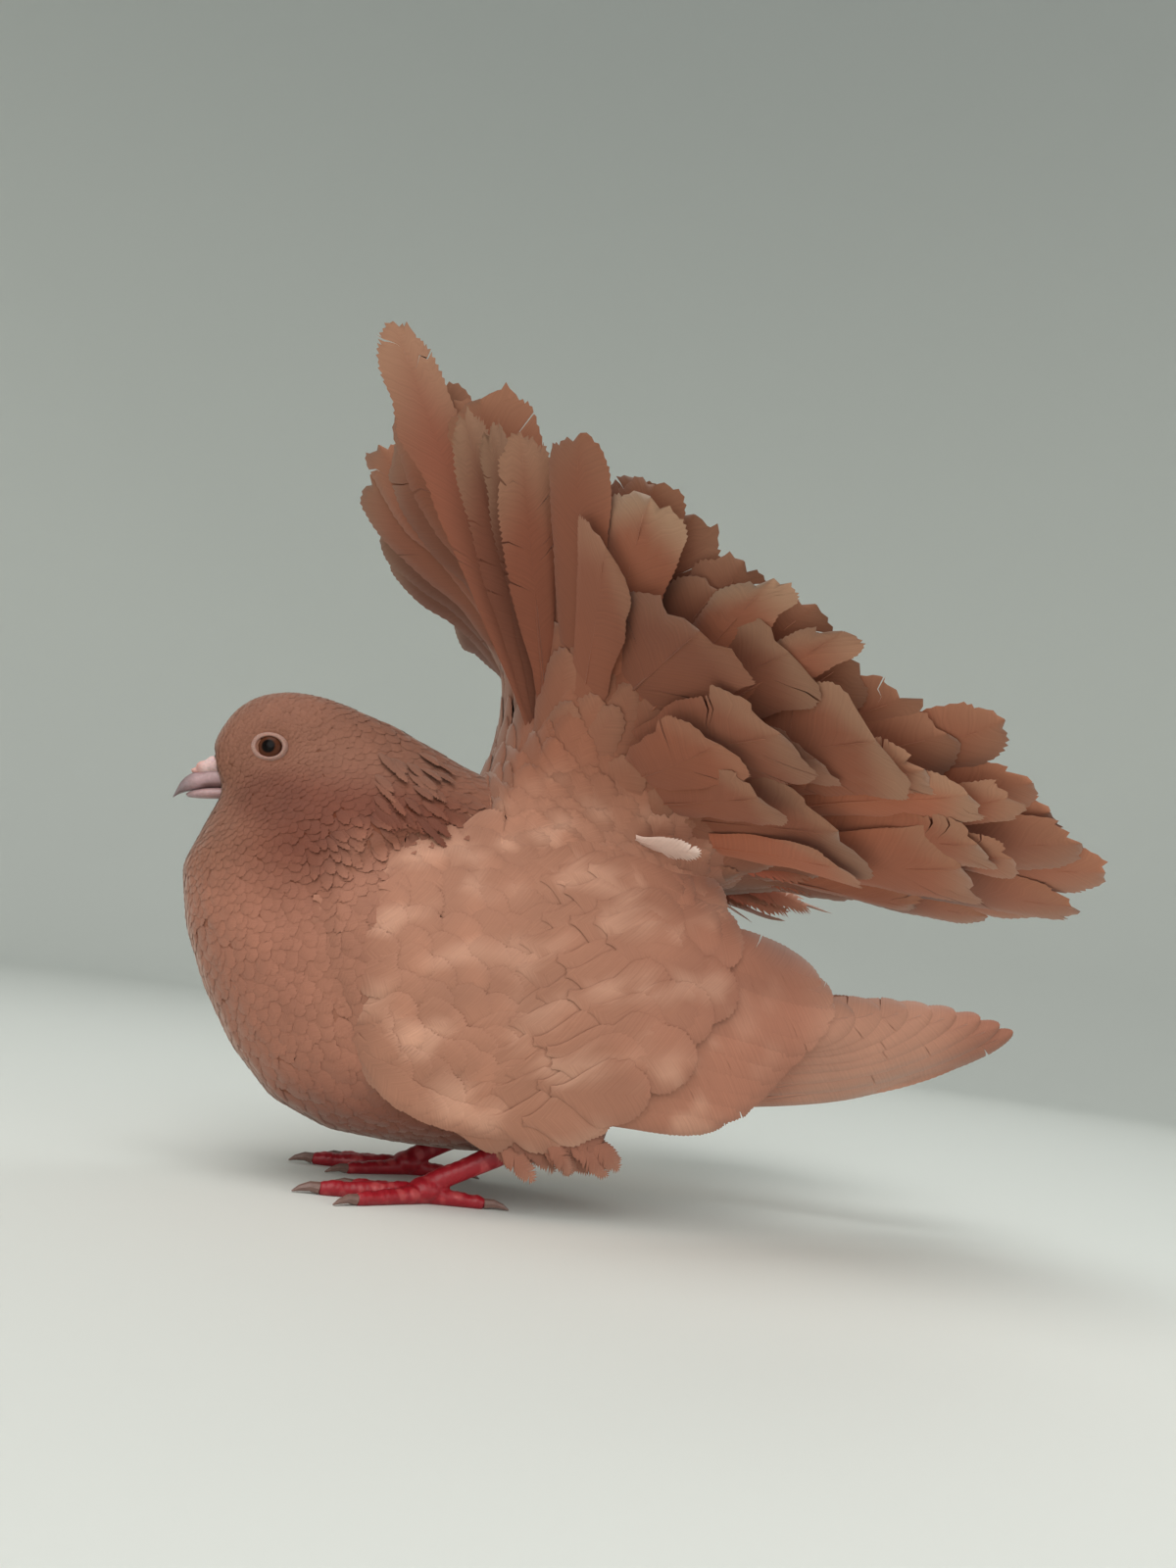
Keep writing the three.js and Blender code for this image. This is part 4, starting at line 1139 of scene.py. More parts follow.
def lay_fan(gathering, draw, spots, side):
    """One half of the spread fan, each feather over the next. In front they are turned on edge."""
    turns = LEFT_FLIGHTS if side > 0 else [-turn + draw.normal() for turn in np.linspace(*RIGHT_FLIGHTS)]
    for k, turn in enumerate(turns):
        length = follow(TAIL_LENGTH, abs(turn)) * (1 + 0.025 * draw.normal()) - FAN_ROOT
        colour = tail_feather_colour(turn) * (1 + 0.09 * draw.normal())
        layer = 0.8 * ((k % 2) * 2 - 1)
        # painted shade: the fan's feathers that lie under the looser tier get darker toward their roots
        dark = 1 - 0.5 * float(ease(abs(turn), 60, 72))
        on_edge = -0.65 * float(ease(turn, 48, 38) * ease(turn, -48, -36))
        curl = float(tip_curl(turn)) - 1.5 * abs(draw.normal())

        def lift(t):
            reach = FAN_ROOT + t * length
            return layer - 7 * toward_front(turn) * ease(reach, 28, 46) * ease(reach, 128, 84)
        surface = tail_surface(turn, FAN_ROOT, length, lift, curl, 1.5 * draw.normal(), 0.05 + on_edge)
        vane(gathering, draw, surface, length, 12.5 + draw.normal(0, 0.7), next(spots),
             shaded(colour, mix(colour, TAIL_PALE, 0.4), dark), rows=64, shape=flight_shape(0.16, 0.8, 4.5),
             ragged=0.06, teeth=0.8, splits=1, camber=1.0, slant=0.25 * side, notch=1.2)


def lay_front_feathers(gathering, draw, spots):
    """The long feathers at the front of the left half, and the ones that lie under them, painted dark as
    shade.
    """
    length = 86
    for turn in UNDER_FLIGHTS:
        surface = tail_surface(turn, FAN_ROOT, length, lambda t: -5 - 2.0 * t, 0.0, 0.0, -0.3)
        # painted shade: the under feathers are coloured a dark deep red
        vane(gathering, draw, surface, length, 9.0, next(spots), faded(TAIL_DEEP * 0.85, TAIL_DEEP), rows=40,
             columns=3, shape=flight_shape(0.16, 0.8, 4.5), teeth=1.0, splits=1)
    for end, half, slanted, narrow, bright in FRONT_FEATHERS:
        root, tip = tail_point(46, 34, 8), tail_point(*end)
        wide = unit(SIDEWAYS) * half - unit(tip - root) * slanted
        surface, length, half = leaf_surface(root, tip - wide, tip + wide, np.array([1.0, -0.3, -0.3]),
                                             1.0, draw.uniform(0, 3))
        colour = mix(TAIL_OCHRE, TAIL_DEEP, 0.55) * bright
        vane(gathering, draw, surface, length, half, next(spots), faded(colour, mix(colour, TAIL_PALE, 0.5)),
             rows=90, columns=5, shape=flight_shape(narrow, 0.8, 3.5), ragged=0.1, teeth=1.2, splits=3,
             camber=0.8, notch=1.8)


def lay_flaps(gathering, draw, spots, side):
    """The looser, square-ended feathers over one half of the fan; the far half's lie more by chance."""
    chance, clear = (0.15, 1.4) if side > 0 else (1, 3.4)
    for *places, bright, pale in FLAPS[0 if side > 0 else FLAPS_LEFT_OUT:]:
        corners = []
        for turn, reach, lift in places:
            off = draw.normal(0, chance, 3)
            corners.append(tail_point(side * (turn + 1.5 * off[0]), reach + 1.5 * off[1], lift + off[2]))
        turn = side * places[0][0]
        outside = tail_point(turn, 100, 1) - tail_point(turn, 100, 0)
        surface, length, half = leaf_surface(*corners, outside, draw.uniform(-1, 2), draw.uniform(-1, 3),
                                             draw.uniform(3.4, 4.6) + clear)
        # painted light and shade, in part: each flap's own brightness scales its colour
        colour = tail_feather_colour(turn) * bright * (1 + 0.04 * draw.normal())
        # partly a painted highlight: the end turns pale where a curled edge catches light
        vane(gathering, draw, surface, length, half, next(spots),
             faded(colour, mix(colour, TAIL_PALE, pale), 0.8, 0.84), rows=64, columns=5,
             shape=fan_shape(0.34, draw.uniform(22, 40)), ragged=0.05, teeth=0.8, splits=draw.integers(0, 3),
             camber=draw.uniform(0.4, 2.4), thick=0.2, notch=1.1)


def lay_soft_root(gathering, draw):
    """Rings of soft feathers round the tail's root on its near face, and the one white feather."""
    for ring, (count, near, reach) in enumerate(ROOT_RINGS):
        for k in range(count):
            turn = -158 + 316 * (k + 0.5 + 0.5 * (ring % 2)) / count + draw.uniform(-2, 2)
            length = reach * draw.uniform(0.9, 1.1) - near
            colour = mix(TAIL_OCHRE, WING_TAN, 0.16 * ring) * (1 + 0.05 * draw.normal())
            surface = tail_surface(turn, near, length,
                                   lambda t: root_lift(near + t * length, turn) + 0.4 + 1.2 * t,
                                   draw.uniform(-0.5, 1.5), 3 * draw.normal(), 0.02)
            vane(gathering, draw, surface, length, reach * 0.115, spare_spot(draw),
                 faded(colour, mix(colour, TAIL_PALE, 0.15)), rows=26, shape=SOFT_SHAPE, ragged=0.05,
                 teeth=0.9, thick=0.1, camber=0.5, **SOFT)
    corners = (tail_point(*place) for place in WHITE_PLACES)
    surface, length, half = leaf_surface(*corners, ACROSS, 1.0, 1.0)
    vane(gathering, draw, surface, length, half, (0.5, 0.85, 0.01, 0.005),
         faded(WHITE_FEATHER, WHITE_FEATHER_TIP), rows=34, columns=3, shape=SOFT_SHAPE, ragged=0.08,
         teeth=1.4, splits=1, thick=0.1, shaft=0.2)


def lay_undertail(gathering, draw):
    """The reddish tuft under the tail, between the wing tips and the fan."""
    for k in range(34):
        side = 1 if k % 2 else -1
        turn = side * (146 + 32 * draw.random())
        reach = draw.uniform(64, 90)
        root = tail_point(turn, 30, 2)
        tip = tail_point(turn + side * 3 * draw.normal(), reach, -2 + 6 * draw.random())
        tip[2] -= 6 * draw.random()
        wide = np.array([0.35 * side, 0.3, -0.9]) * draw.uniform(4, 6)
        surface, length, half = leaf_surface(root, tip - wide, tip + wide, side * ACROSS, 2.0, -2.0)
        spot = spare_spot(draw)
        colour = UNDERTAIL_RED * (1 + 0.08 * draw.normal())
        vane(gathering, draw, surface, length, half, spot, faded(colour, mix(UNDERTAIL_RED, TAIL_PALE, 0.4)),
             rows=40, columns=3, shape=flight_shape(0.4, 0.6, 1.9), ragged=0.1, teeth=2.2, splits=3,
             thick=0.12, shaft=0.2)


def lay_soft_back(gathering, draw):
    """Rings of soft feathers on the fan's back, over the rounded end of the body."""
    for count, near, reach in BACK_RINGS:
        for k in range(count):
            turn = 360 * (k + draw.uniform(-0.45, 0.45)) / count
            length = reach * draw.uniform(0.78, 1.22) - near
            colour = mix(TAIL_OCHRE, BREAST_RED, 0.45) * (1 + 0.06 * draw.normal())
            surface = tail_surface(turn, near, length, lambda t: -back_lift(near + t * length) - 0.9 * t,
                                   draw.uniform(-1.0, 0.3), 3 * draw.normal(), 0.03)
            vane(gathering, draw, surface, length, reach * 0.17, spare_spot(draw),
                 faded(colour, mix(colour, TAIL_PALE, 0.2)), rows=26, shape=SOFT_SHAPE, ragged=0.06,
                 teeth=1.1, thick=0.1, camber=-0.4, **SOFT)


def make_tail(material):
    """The spread fan, the looser tier over it, and the soft feathers on both faces of its root."""
    draw = np.random.default_rng(29)
    spots = tail_spots()
    right_half = Gathering()
    lay_fan(right_half, draw, spots, -1)
    right_half = right_half.piece("tail_right", material, "tail_plumage")
    left_half = Gathering()
    lay_fan(left_half, draw, spots, 1)
    lay_front_feathers(left_half, draw, spots)
    left_half = left_half.piece("tail_left", material, "tail_plumage")
    second_tier = Gathering()
    lay_flaps(second_tier, draw, spots, 1)
    lay_flaps(second_tier, draw, spots, -1)
    second_tier.piece("tail_second_tier", material, "tail_plumage")
    soft_root = Gathering()
    lay_soft_root(soft_root, draw)
    soft_root.piece("tail_coverts", material, "tail_plumage")
    undertail = Gathering()
    lay_undertail(undertail, draw)
    lay_soft_back(undertail, draw)
    undertail = undertail.piece("undertail_coverts", material, "tail_plumage")
    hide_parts("tail_right_rear", "tail_right_front")
    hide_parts("tail_left_front", "tail_left_rear")
    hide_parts("undertail")


# The rump, between the folded wing's top and the tail. It starts along this stretch of the wing (middle and
# half length), and goes round the tail from its front on one side to its back.
RUMP_MIDDLE, RUMP_HALF = 31.3, 34.7
RUMP_FRONT, RUMP_BACK = 21.0, 158.0
# Height of the back in front of the tail, under the feathers and at their rim
BACK_UNDER, BACK_TOP = 126.0, 131.5
# Where the rump's feathers sink into the tail, and where they end on it: distances from the tail's root
RUMP_SINKS, RUMP_ENDS = 42.0, 74.0


def rump_place(side, turn, part):
    """The soft surface that rises from the wing's top, and in front from the back (part 0), over the rump to
    where the tail opens (part 1), by degrees round the tail."""
    y = RUMP_MIDDLE - RUMP_HALF * np.cos(np.radians(np.clip(np.abs(turn), RUMP_FRONT, RUMP_BACK)))
    edge = follow(SHIELD_UPPER, y)
    wide = np.clip(turn / RUMP_FRONT, -1, 1)
    ahead = 1 - wide**2
    under = np.stack([wing_out(y, edge - 14) * wide, y - 7 * ahead, mix(edge - 14, BACK_UNDER, ahead)], -1)
    rim = np.stack([(wing_out(y, edge) + 2.0) * wide, y - 2.4 * ahead, mix(edge, BACK_TOP, ahead)], -1)
    sunk, ends = (tail_point(turn, reach + 0 * y, root_lift(reach, side * turn) + 0 * y)
                  for reach in (RUMP_SINKS, RUMP_ENDS))
    v = np.asarray(part)[..., None]
    place = (1 - v) ** 3 * under + 3 * (1 - v) ** 2 * v * rim + 3 * (1 - v) * v**2 * sunk + v**3 * ends
    return place * np.array([side, 1.0, 1.0])


def rump_surface(side, turn, part, lean):
    """Carries one small feather over the rump."""
    turn = np.array(turn)
    span = float(np.linalg.norm(rump_place(side, turn, 1.0) - rump_place(side, turn, 0.0)))

    def surface(along, across, height):
        there = part + along / span
        step = rump_place(side, turn + 1 + 0 * there, there) - rump_place(side, turn - 1 + 0 * there, there)
        here = turn + (across + lean * along) / np.maximum(np.linalg.norm(step, axis=-1) / 2, 0.3)
        base = rump_place(side, here, there)
        up = np.cross(rump_place(side, here, there + 0.02) - base, rump_place(side, here + 1, there) - base)
        up = unit(up) * np.sign(side * up[..., :1] * (turn > 30) - up[..., 1:2] * (turn <= 30))
        return base + up * (height + 0.06 * along - 0.9)[..., None]
    return surface


def rump_tint(shade):
    """Colours a rump feather as the wing is low down, and as the tail's root is high up."""
    def tint(points, t, q):
        to_tail = ease(points[..., 2], 112, 140)[..., None]
        colour = mix(wing_colour(points), mix(TAIL_OCHRE, WING_TAN, 0.3), to_tail)
        return lit(colour * shade, 0.1 * ease(t, 0.5, 0.9) * (1 - q**2))
    return tint


def make_rump(material):
    """Soft feathers that rise from the wing's top over the rump into the tail, so that no edge shows."""
    draw = np.random.default_rng(31)
    gathering = Gathering()
    rows, count = 9, 15
    for side_name, side in SIDES.items():
        for row in range(rows):
            for k in range(count):
                turn = mix(3, 157, (k + 0.5 * (row % 2)) / count) + draw.uniform(-2, 2)
                part = mix(0.72, -0.22, row / (rows - 1)) + draw.uniform(-0.03, 0.03)
                tint = rump_tint(1 + 0.05 * draw.normal())
                root = rump_place(side, np.array(turn), max(part, 0.0))
                spot = (*unwrap_chart(root, side_name), 0.015, 0.01)
                vane(gathering, draw, rump_surface(side, turn, part, 0.12 * draw.normal()),
                     draw.uniform(19, 24), draw.uniform(6, 7.5), spot, tint, rows=22, ragged=0.05,
                     shape=flight_shape(0.25, 0.6, 2.0), teeth=0.9, thick=0.08, camber=0.15, **SOFT)
    gathering.piece("rump_feathers", material, "tail_plumage")


# Wing feathers
# Where the primaries' tips lie, as y and z, from the uppermost down
PRIMARY_TIPS = [[126, 71], [138, 74], [150, 76], [161, 77], [172, 77.5], [183, 77], [192, 75.5], [199, 73.5]]
# The end of each secondary, from the uppermost down, and the end of the coverts at each height
SECONDARY_ENDS = [[-1.1, 83], [0, 92], [2, 100], [4, 111], [5, 115], [6, 116.5], [7, 112]]
COVERT_ENDS = [[22, 36], [38, 52], [53, 65], [68, 73], [84, 78], [91, 77], [104, 66], [120, 40]]


def wing_surface(side, root, tip, lift, curve=0.0):
    """Carries one wing feather over the folded wing from its root to its tip, both as (y, z)."""
    root, tip = np.array(root, float), np.array(tip, float)
    length = np.linalg.norm(tip - root)
    way = (tip - root) / length
    beside = np.array([-way[1], way[0]])

    def surface(along, across, height):
        t = along / length
        sag = curve * 4 * t * (1 - t)
        y = root[0] + way[0] * along + beside[0] * (across + sag)
        z = root[1] + way[1] * along + beside[1] * (across + sag)
        x = wing_out(y, z) + lift(t, across) + height
        return np.stack([side * x, y, z], -1)
    return surface, length


def wing_tint(pale, warm):
    """Colours a wing feather as the wing is at each place, with a soft pale patch near its tip."""
    def tint(points, t, q):
        patch = pale * ease(t, 0.35, 0.78) * ease(t + 0.15 * q**2, 1.1, 0.84) * (1 - 0.6 * q**2)
        return lit(wing_colour(points), patch + warm)
    return tint


def lay_primaries(gathering, draw, side):
    """The eight primaries that show, each a little further in than the one above."""
    for i, tip in enumerate(PRIMARY_TIPS):
        surface, length = wing_surface(side, [67, 62 - 3.5 * i], tip,
                                       lambda t, across: -4.4 - 0.95 * i + 0.03 * across, -(1.5 + 0.72 * i))
        spot = (0.01 + 0.12 * i, 0.01 if side > 0 else 0.06, 0.11, 0.045)
        vane(gathering, draw, surface, length, 8.3 - 0.25 * i, spot, wing_tint(0.1, 0.03 * draw.normal()),
             rows=90, shape=flight_shape(0.3, 0.7, 2.0), ragged=0.012, teeth=0.3, splits=1, camber=0.8,
             shaft=0.7)


def lay_secondaries(gathering, draw, side):
    """The eleven secondaries, which lie along the wing's rear part one under the next."""
    for i in range(11):
        at = mix(-1.1, 7, i / 10)
        root, tip = [30, 39.5 + 7.4 * at], [follow(SECONDARY_ENDS, at), 41.5 + 5.6 * at]
        surface, length = wing_surface(side, root, tip,
                                       lambda t, across: -1.2 + 0.4 * at / 7 - 0.05 * across)
        spot = (0.01 + 0.095 * i, 0.12 if side > 0 else 0.17, 0.09, 0.045)
        vane(gathering, draw, surface, length, mix(6.0, 8.6, min(i / 3, 1)), spot,
             wing_tint(0.12, 0.03 * draw.normal()), rows=70, shape=flight_shape(0.4, 0.74, 2.4), ragged=0.012,
             teeth=0.5, splits=1, camber=0.5, shaft=0.4)


def covert_way(y, up):
    """The lie of a covert: along the wing in its middle, along its edges above and below."""
    slope = mix(edge_slope(SHIELD_LOWER, y, 4), edge_slope(SHIELD_UPPER, y, 4), up)
    return unit(np.array([1.0, slope * abs(2 * up - 1) ** 0.7]))


def lay_coverts(gathering, draw, side_name):
    """Rows of coverts over the wing, from the small ones at its bend to the large ones at its rear."""
    rows = 13
    for row in range(rows):
        part = row / (rows - 1)
        size = mix(13.0, 24.0, part)
        spacing = size * 0.44
        for k in range(int(110 / spacing)):
            z = 20 + (k + 0.5 * (row % 2)) * spacing + draw.uniform(-2, 2)
            y = mix(-34, follow(COVERT_ENDS, z), part) + draw.uniform(-3, 3)
            low, high = follow(SHIELD_LOWER, y - 8), follow(SHIELD_UPPER, y - 8)
            if not low + 0.2 * size < z < high - 0.12 * size:
                continue
            way = covert_way(y, (z - low) / (high - low))
            way = unit(way + np.array([-way[1], way[0]]) * 0.08 * draw.normal())
            tip = np.array([y, z])
            root = tip - way * size * draw.uniform(0.95, 1.3)

            def lift(t, across):
                tucked = 2.6 * ease(y - 12 * (1 - t), -26, -40)
                return mix(0.1, 2.3, ease(y, 14, 60)) - 0.5 + 0.42 * t + 0.035 * across - tucked
            surface, length = wing_surface(SIDES[side_name], root, tip, lift)
            tint = wing_tint(0.26 * draw.random() ** 3, 0.012 * draw.normal())
            vane(gathering, draw, surface, length, size * 0.42, wing_spot(side_name, y, z), tint, rows=34,
                 shape=flight_shape(0.15, 0.58, 2.0), teeth=0.9, thick=0.06, camber=0.1, **SOFT)


def lay_edge_coverts(gathering, draw, side_name):
    """One row of narrow feathers that closes the wing's lower edge with a smooth line."""
    for k in range(16):
        y = mix(-38, 34, k / 15)
        tip = np.array([y + 9, follow(SHIELD_LOWER, y + 9) + 3.4])
        root = tip - unit(np.array([1.0, edge_slope(SHIELD_LOWER, y, 3)])) * 21
        surface, length = wing_surface(SIDES[side_name], root, tip,
                                       lambda t, across: -0.1 + 0.34 * t - 2.6 * ease(y, -26, -40))
        vane(gathering, draw, surface, length, 4.6, wing_spot(side_name, y, tip[1]),
             wing_tint(0.03, 0.012 * draw.normal()), rows=34, shape=flight_shape(0.3, 0.6, 2.0), teeth=0.5,
             thick=0.06, camber=0.1, **SOFT)


def lay_flank_fluff(gathering, draw, side_name):
    """Loose fluffy feathers of the flank that hang out under the wing, over the thigh."""
    side = SIDES[side_name]
    for k in range(34):
        y = draw.uniform(2, 34)
        z = follow(SHIELD_LOWER, y) + draw.uniform(2, 9)
        root = np.array([side * (wing_out(y, z) - 3.5 - 2.5 * draw.random()), y, z])
        tip = root + np.array([side * draw.uniform(-4, -1), draw.uniform(11, 19), -draw.uniform(8, 14)])
        wide = np.array([0, 0.55, 0.8]) * draw.uniform(2.4, 3.8)
        surface, length, half = leaf_surface(root, tip - wide, tip + wide, side * ACROSS, 1.5, -1.0)
        colour = mix(WING_WARM, BELLY_BROWN, 0.3) * (1 + 0.06 * draw.normal())
        vane(gathering, draw, surface, length, half, wing_spot(side_name, y, z),
             faded(colour, mix(colour, WING_PALE, 0.3)), rows=36, columns=3, ragged=0.1, teeth=1.4, splits=2,
             shape=flight_shape(0.3, 0.6, 1.8), thick=0.08, camber=0.4, shaft=0)


def make_wing(side_name, flight_material, covert_material):
    """Primaries, secondaries and the rows of coverts of one folded wing."""
    side = SIDES[side_name]
    draw = np.random.default_rng(41 if side > 0 else 43)
    flights = Gathering()
    lay_primaries(flights, draw, side)
    lay_secondaries(flights, draw, side)
    flights = flights.piece("wing_flights_" + side_name, flight_material, "wing_plumage")
    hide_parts("wing_secondaries_" + side_name, "wing_primaries_" + side_name)
    coverts = Gathering()
    lay_coverts(coverts, draw, side_name)
    lay_edge_coverts(coverts, draw, side_name)
    lay_flank_fluff(coverts, draw, side_name)
    coverts.piece("wing_coverts_" + side_name, covert_material, "wing_plumage")


# Bill and cere. Each half of the bill: distance along the bird, height, half width, half depth.
BILL_UPPER = [[-98.5, 108.7, 0.3, 0.3], [-97.1, 111.7, 1.9, 2.0], [-94.8, 113.8, 2.7, 2.8],
              [-91.8, 115.2, 3.4, 3.0], [-88.5, 116.6, 3.9, 3.4], [-84, 117.3, 4.1, 3.4]]
BILL_LOWER = [[-94.9, 110.1, 0.2, 0.2], [-94.0, 110.3, 1.3, 0.9], [-91.5, 110.9, 2.5, 1.4],
              [-88, 111.6, 3.3, 1.7], [-84, 112.3, 3.6, 1.7]]
# The swellings of each lobe of the cere: place, half width, half depth
CERE_LOBE = ((2.1, -85.4, 120.8, 2.7, 2.5), (2.2, -88.2, 120.5, 3.0, 2.8), (2.1, -90.6, 119.2, 2.4, 2.1),
             (1.7, -92.2, 117.8, 1.0, 0.9))


def loft_bill(table, name, colour, material):
    """One half of the bill as a smooth horn, from its tip back into the head."""
    rings, sides = 44, 36
    y = mix(table[0][0], table[-1][0], np.linspace(0, 1, rings) ** 1.15)
    z, wide, deep = (follow(table, y, column)[:, None] for column in (1, 2, 3))
    angle = full_turn(sides)[None]
    cosine, sine = np.cos(angle), np.sin(angle)
    x = wide * np.sign(cosine) * np.abs(cosine) ** 0.9
    height = z + deep * np.sign(sine) * np.abs(sine) ** 0.9
    points = np.stack([x, y[:, None] + 0 * angle, height], -1)
    every = np.concatenate([points.reshape(-1, 3), [points[0].mean(0), points[-1].mean(0)]])
    sheet = np.stack([(every[:, 1] + 99) / 20, (every[:, 2] - 100) / 40], 1)
    gathering = Gathering()
    gathering.add(every, *tube_faces(rings, sides), colour(every), sheet)
    return gathering.piece(name, material, "bill", crease=80)


def upper_bill_colour(points):
    """Mauve horn, greyer at the hooked tip, with a dark line along the gape."""
    y, z = points[:, 1], points[:, 2]
    colour = mix(HORN_ROOT, HORN_TIP, ease(y, -91, -97)[:, None])
    gape = ease(z - follow(BILL_UPPER, y), -1.4, -2.6) * ease(y, -93, -89)
    return mix(colour, GAPE_BROWN, (0.7 * gape)[:, None])


def lower_bill_colour(points):
    return mix(HORN_LOW, HORN_TIP, (0.6 * ease(points[:, 1], -90, -95))[:, None])


def make_bill():
    """A short pigeon bill: hooked horn tip, pinkish sides, softer lower half."""
    material = bill_horn()
    upper = loft_bill(BILL_UPPER, "bill_upper_horn", upper_bill_colour, material)
    lower = loft_bill(BILL_LOWER, "bill_lower_horn", lower_bill_colour, material)
    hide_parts("bill_upper")
    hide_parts("bill_lower")


def make_cere():
    """The cere: two powdery pale lobes of soft skin over the root of the bill."""
    gathering = Gathering()
    for side in (-1, 1):
        for x, y, z, wide, deep in CERE_LOBE:
            gathering.add(*egg_form((side * x, y, z), (wide * 1.05, 2.9, deep)), CERE_POWDER)
    piece = gathering.piece("cere_lobes", cere_skin(), "cere")
    add_melting(piece, 0.3, 22)
    applied(piece)

    def colour(points):
        powdered = mix(CERE_POWDER, CERE_FRONT, ease(points[:, 1], -90, -93.5)[:, None])
        return lit(powdered, 0.05 * wave_noise(points, 1.6, 3))
    recolour(piece, colour, lambda p: np.stack([(p[:, 1] + 96) / 16, (p[:, 0] + 6) / 12], 1))
    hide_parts("cere")


# Eyes and lids. The head's sides slope, so the eyes look this much to the front for each step outward.
EYE_SLOPE = 0.28
EYEBALL = 5.4
EYEBALL_SET_IN = np.array([-1.2, 1.1, 0.0])
# The lid ring's section, from its inner foot over its crest to its outer foot: distance from the eye's middle
# line, distance from the bird's middle
LID_SECTION = [[3.6, 11.4], [3.5, 12.5], [3.6, 13.1], [3.9, 13.4], [4.3, 13.35], [4.7, 13.0], [5.1, 12.4],
               [5.4, 11.2]]
LID_LONG, LID_HIGH = 1.1, 0.9


def eye_colour(out):
    """Black pupil, thin brown rim to the iris, dark towards the lids, by distance from the line of sight."""
    iris = ease(out, 1.9, 2.3) * ease(out, 4.2, 3.1)
    tint = mix(PUPIL_BLACK, IRIS_BROWN, iris[:, None])
    return mix(tint, EYE_RIM, ease(out, 3.6, 4.4)[:, None])


def make_eyes():
    """Dark wet eyes, turned a little forward as the head's sides are."""
    material = eye_cornea()
    for name, side in SIDES.items():
        mirror = np.array([side, 1, 1])
        centre = (EYE + EYEBALL_SET_IN) * mirror
        points, quads, triangles = egg_form(centre, [EYEBALL] * 3, 60, 96)
        look = unit(np.array([side, -EYE_SLOPE, 0.0]))
        from_centre = points - centre
        out = np.linalg.norm(from_centre - (from_centre @ look)[:, None] * look, axis=1)
        gathering = Gathering()
        gathering.add(points, quads, triangles, eye_colour(out), 0.5 + (points - EYE)[:, 1:] / 12)
        piece = gathering.piece("eyeball_" + name, material, "eye", crease=180)
        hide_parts("eye_" + name)


def make_eyelids():
    """The bare ring of the lids: whitish pink, thicker in front, finely puckered."""
    material = lid_skin()
    rings, sides = 180, 24
    angle = full_turn(rings)[:, None]
    fine = np.linspace(0, len(LID_SECTION), sides + 1)[:-1]
    wrapped = np.array(LID_SECTION + LID_SECTION[:3], float)
    radius, out = (np.interp(fine, np.arange(len(wrapped)), wrapped[:, k])[None] for k in (0, 1))
    front = 1 + 0.09 * ease(-np.cos(angle), 0.0, 1.0) * (radius > 4.0)
    crest = ease(radius, 3.6, 4.2) * ease(radius, 5.6, 4.9)
    pucker = 0.07 * np.sin(angle * 46 + 2 * np.sin(angle * 3)) * crest
    along = LID_LONG * radius * front * np.cos(angle)
    ring = np.stack([out + pucker + EYE_SLOPE * along, EYE[1] + along,
                     EYE[2] + LID_HIGH * radius * front * np.sin(angle)], -1)
    i, j = np.meshgrid(np.arange(rings), np.arange(sides), indexing="ij")
    a, b = (i + 1) % rings, (j + 1) % sides
    quads = np.stack([i * sides + j, i * sides + b, a * sides + b, a * sides + j], -1).reshape(-1, 4)
    tint = mix(LID_PALE, LID_FLUSHED, (0.7 * (ease(radius, 3.9, 3.5) + 0 * angle))[..., None])
    place = np.stack([1.95 + ring[..., 1] * 0.02, 0.5 + (ring[..., 2] - EYE[2]) * 0.05], -1)
    for name, side in SIDES.items():
        gathering = Gathering()
        gathering.add(ring * np.array([side, 1, 1]), quads[:, ::-1] if side > 0 else quads, [],
                      tint.reshape(-1, 3), place.reshape(-1, 2))
        piece = gathering.piece("eyelid_ring_" + name, material, "eyelid", crease=180)
        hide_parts("eyelids_" + name)


# Legs. The left shank's line from the hock down to the foot, and its radius at each point
SHANK = [[25, 16.8, 18.4], [25, 15.4, 16.8], [24.8, 11, 13.8], [24.4, 4, 9.9], [24, -1.5, 7], [24, -5, 4.6]]
SHANK_RADII = [3.0, 3.7, 3.3, 2.95, 3.1, 3.2]
FOOT = np.array([24.0, -5.0, 0.0])
# Each toe: degrees round from straight ahead, length, radius at its root
TOES = {"middle": (4, 31, 3.1), "inner": (-26, 23, 2.7), "outer": (32, 25, 2.8), "hind": (176, 17, 2.7)}
SOLE = 0.02


def limb(gathering, path, radii, scute_mm, front, depth):
    """A scaly limb: a round tube along a path, with plates that overlap down its front."""
    sides = 22
    path, radii = np.asarray(path, float), np.asarray(radii, float)
    steps = np.linalg.norm(np.diff(path, axis=0), axis=1)
    at = np.concatenate([[0], np.cumsum(steps)])
    rings = int(at[-1] / 0.35) + 4
    s = np.linspace(0, at[-1], rings)
    centre = np.stack([follow(np.stack([at, path[:, k]], 1), s) for k in range(3)], 1)
    radius = follow(np.stack([at, radii], 1), s)
    way = unit(np.gradient(centre, axis=0))
    ahead = unit(front - (way * front).sum(1, keepdims=True) * way)
    beside = np.cross(way, ahead)
    angle = full_turn(sides)[None]
    plate = (s / scute_mm) % 1
    r = radius[:, None] + depth * (1 - plate)[:, None] ** 0.7 * ease(np.cos(angle), -0.1, 0.6)
    points = (centre[:, None] + ahead[:, None] * (r * np.cos(angle))[..., None]
              + beside[:, None] * (r * np.sin(angle))[..., None])
    ends = [centre[0] - way[0] * radius[0] * 0.5, centre[-1] + way[-1] * radius[-1] * 0.5]
    gathering.add(np.concatenate([points.reshape(-1, 3), ends]), *tube_faces(rings, sides), LEG_RED)


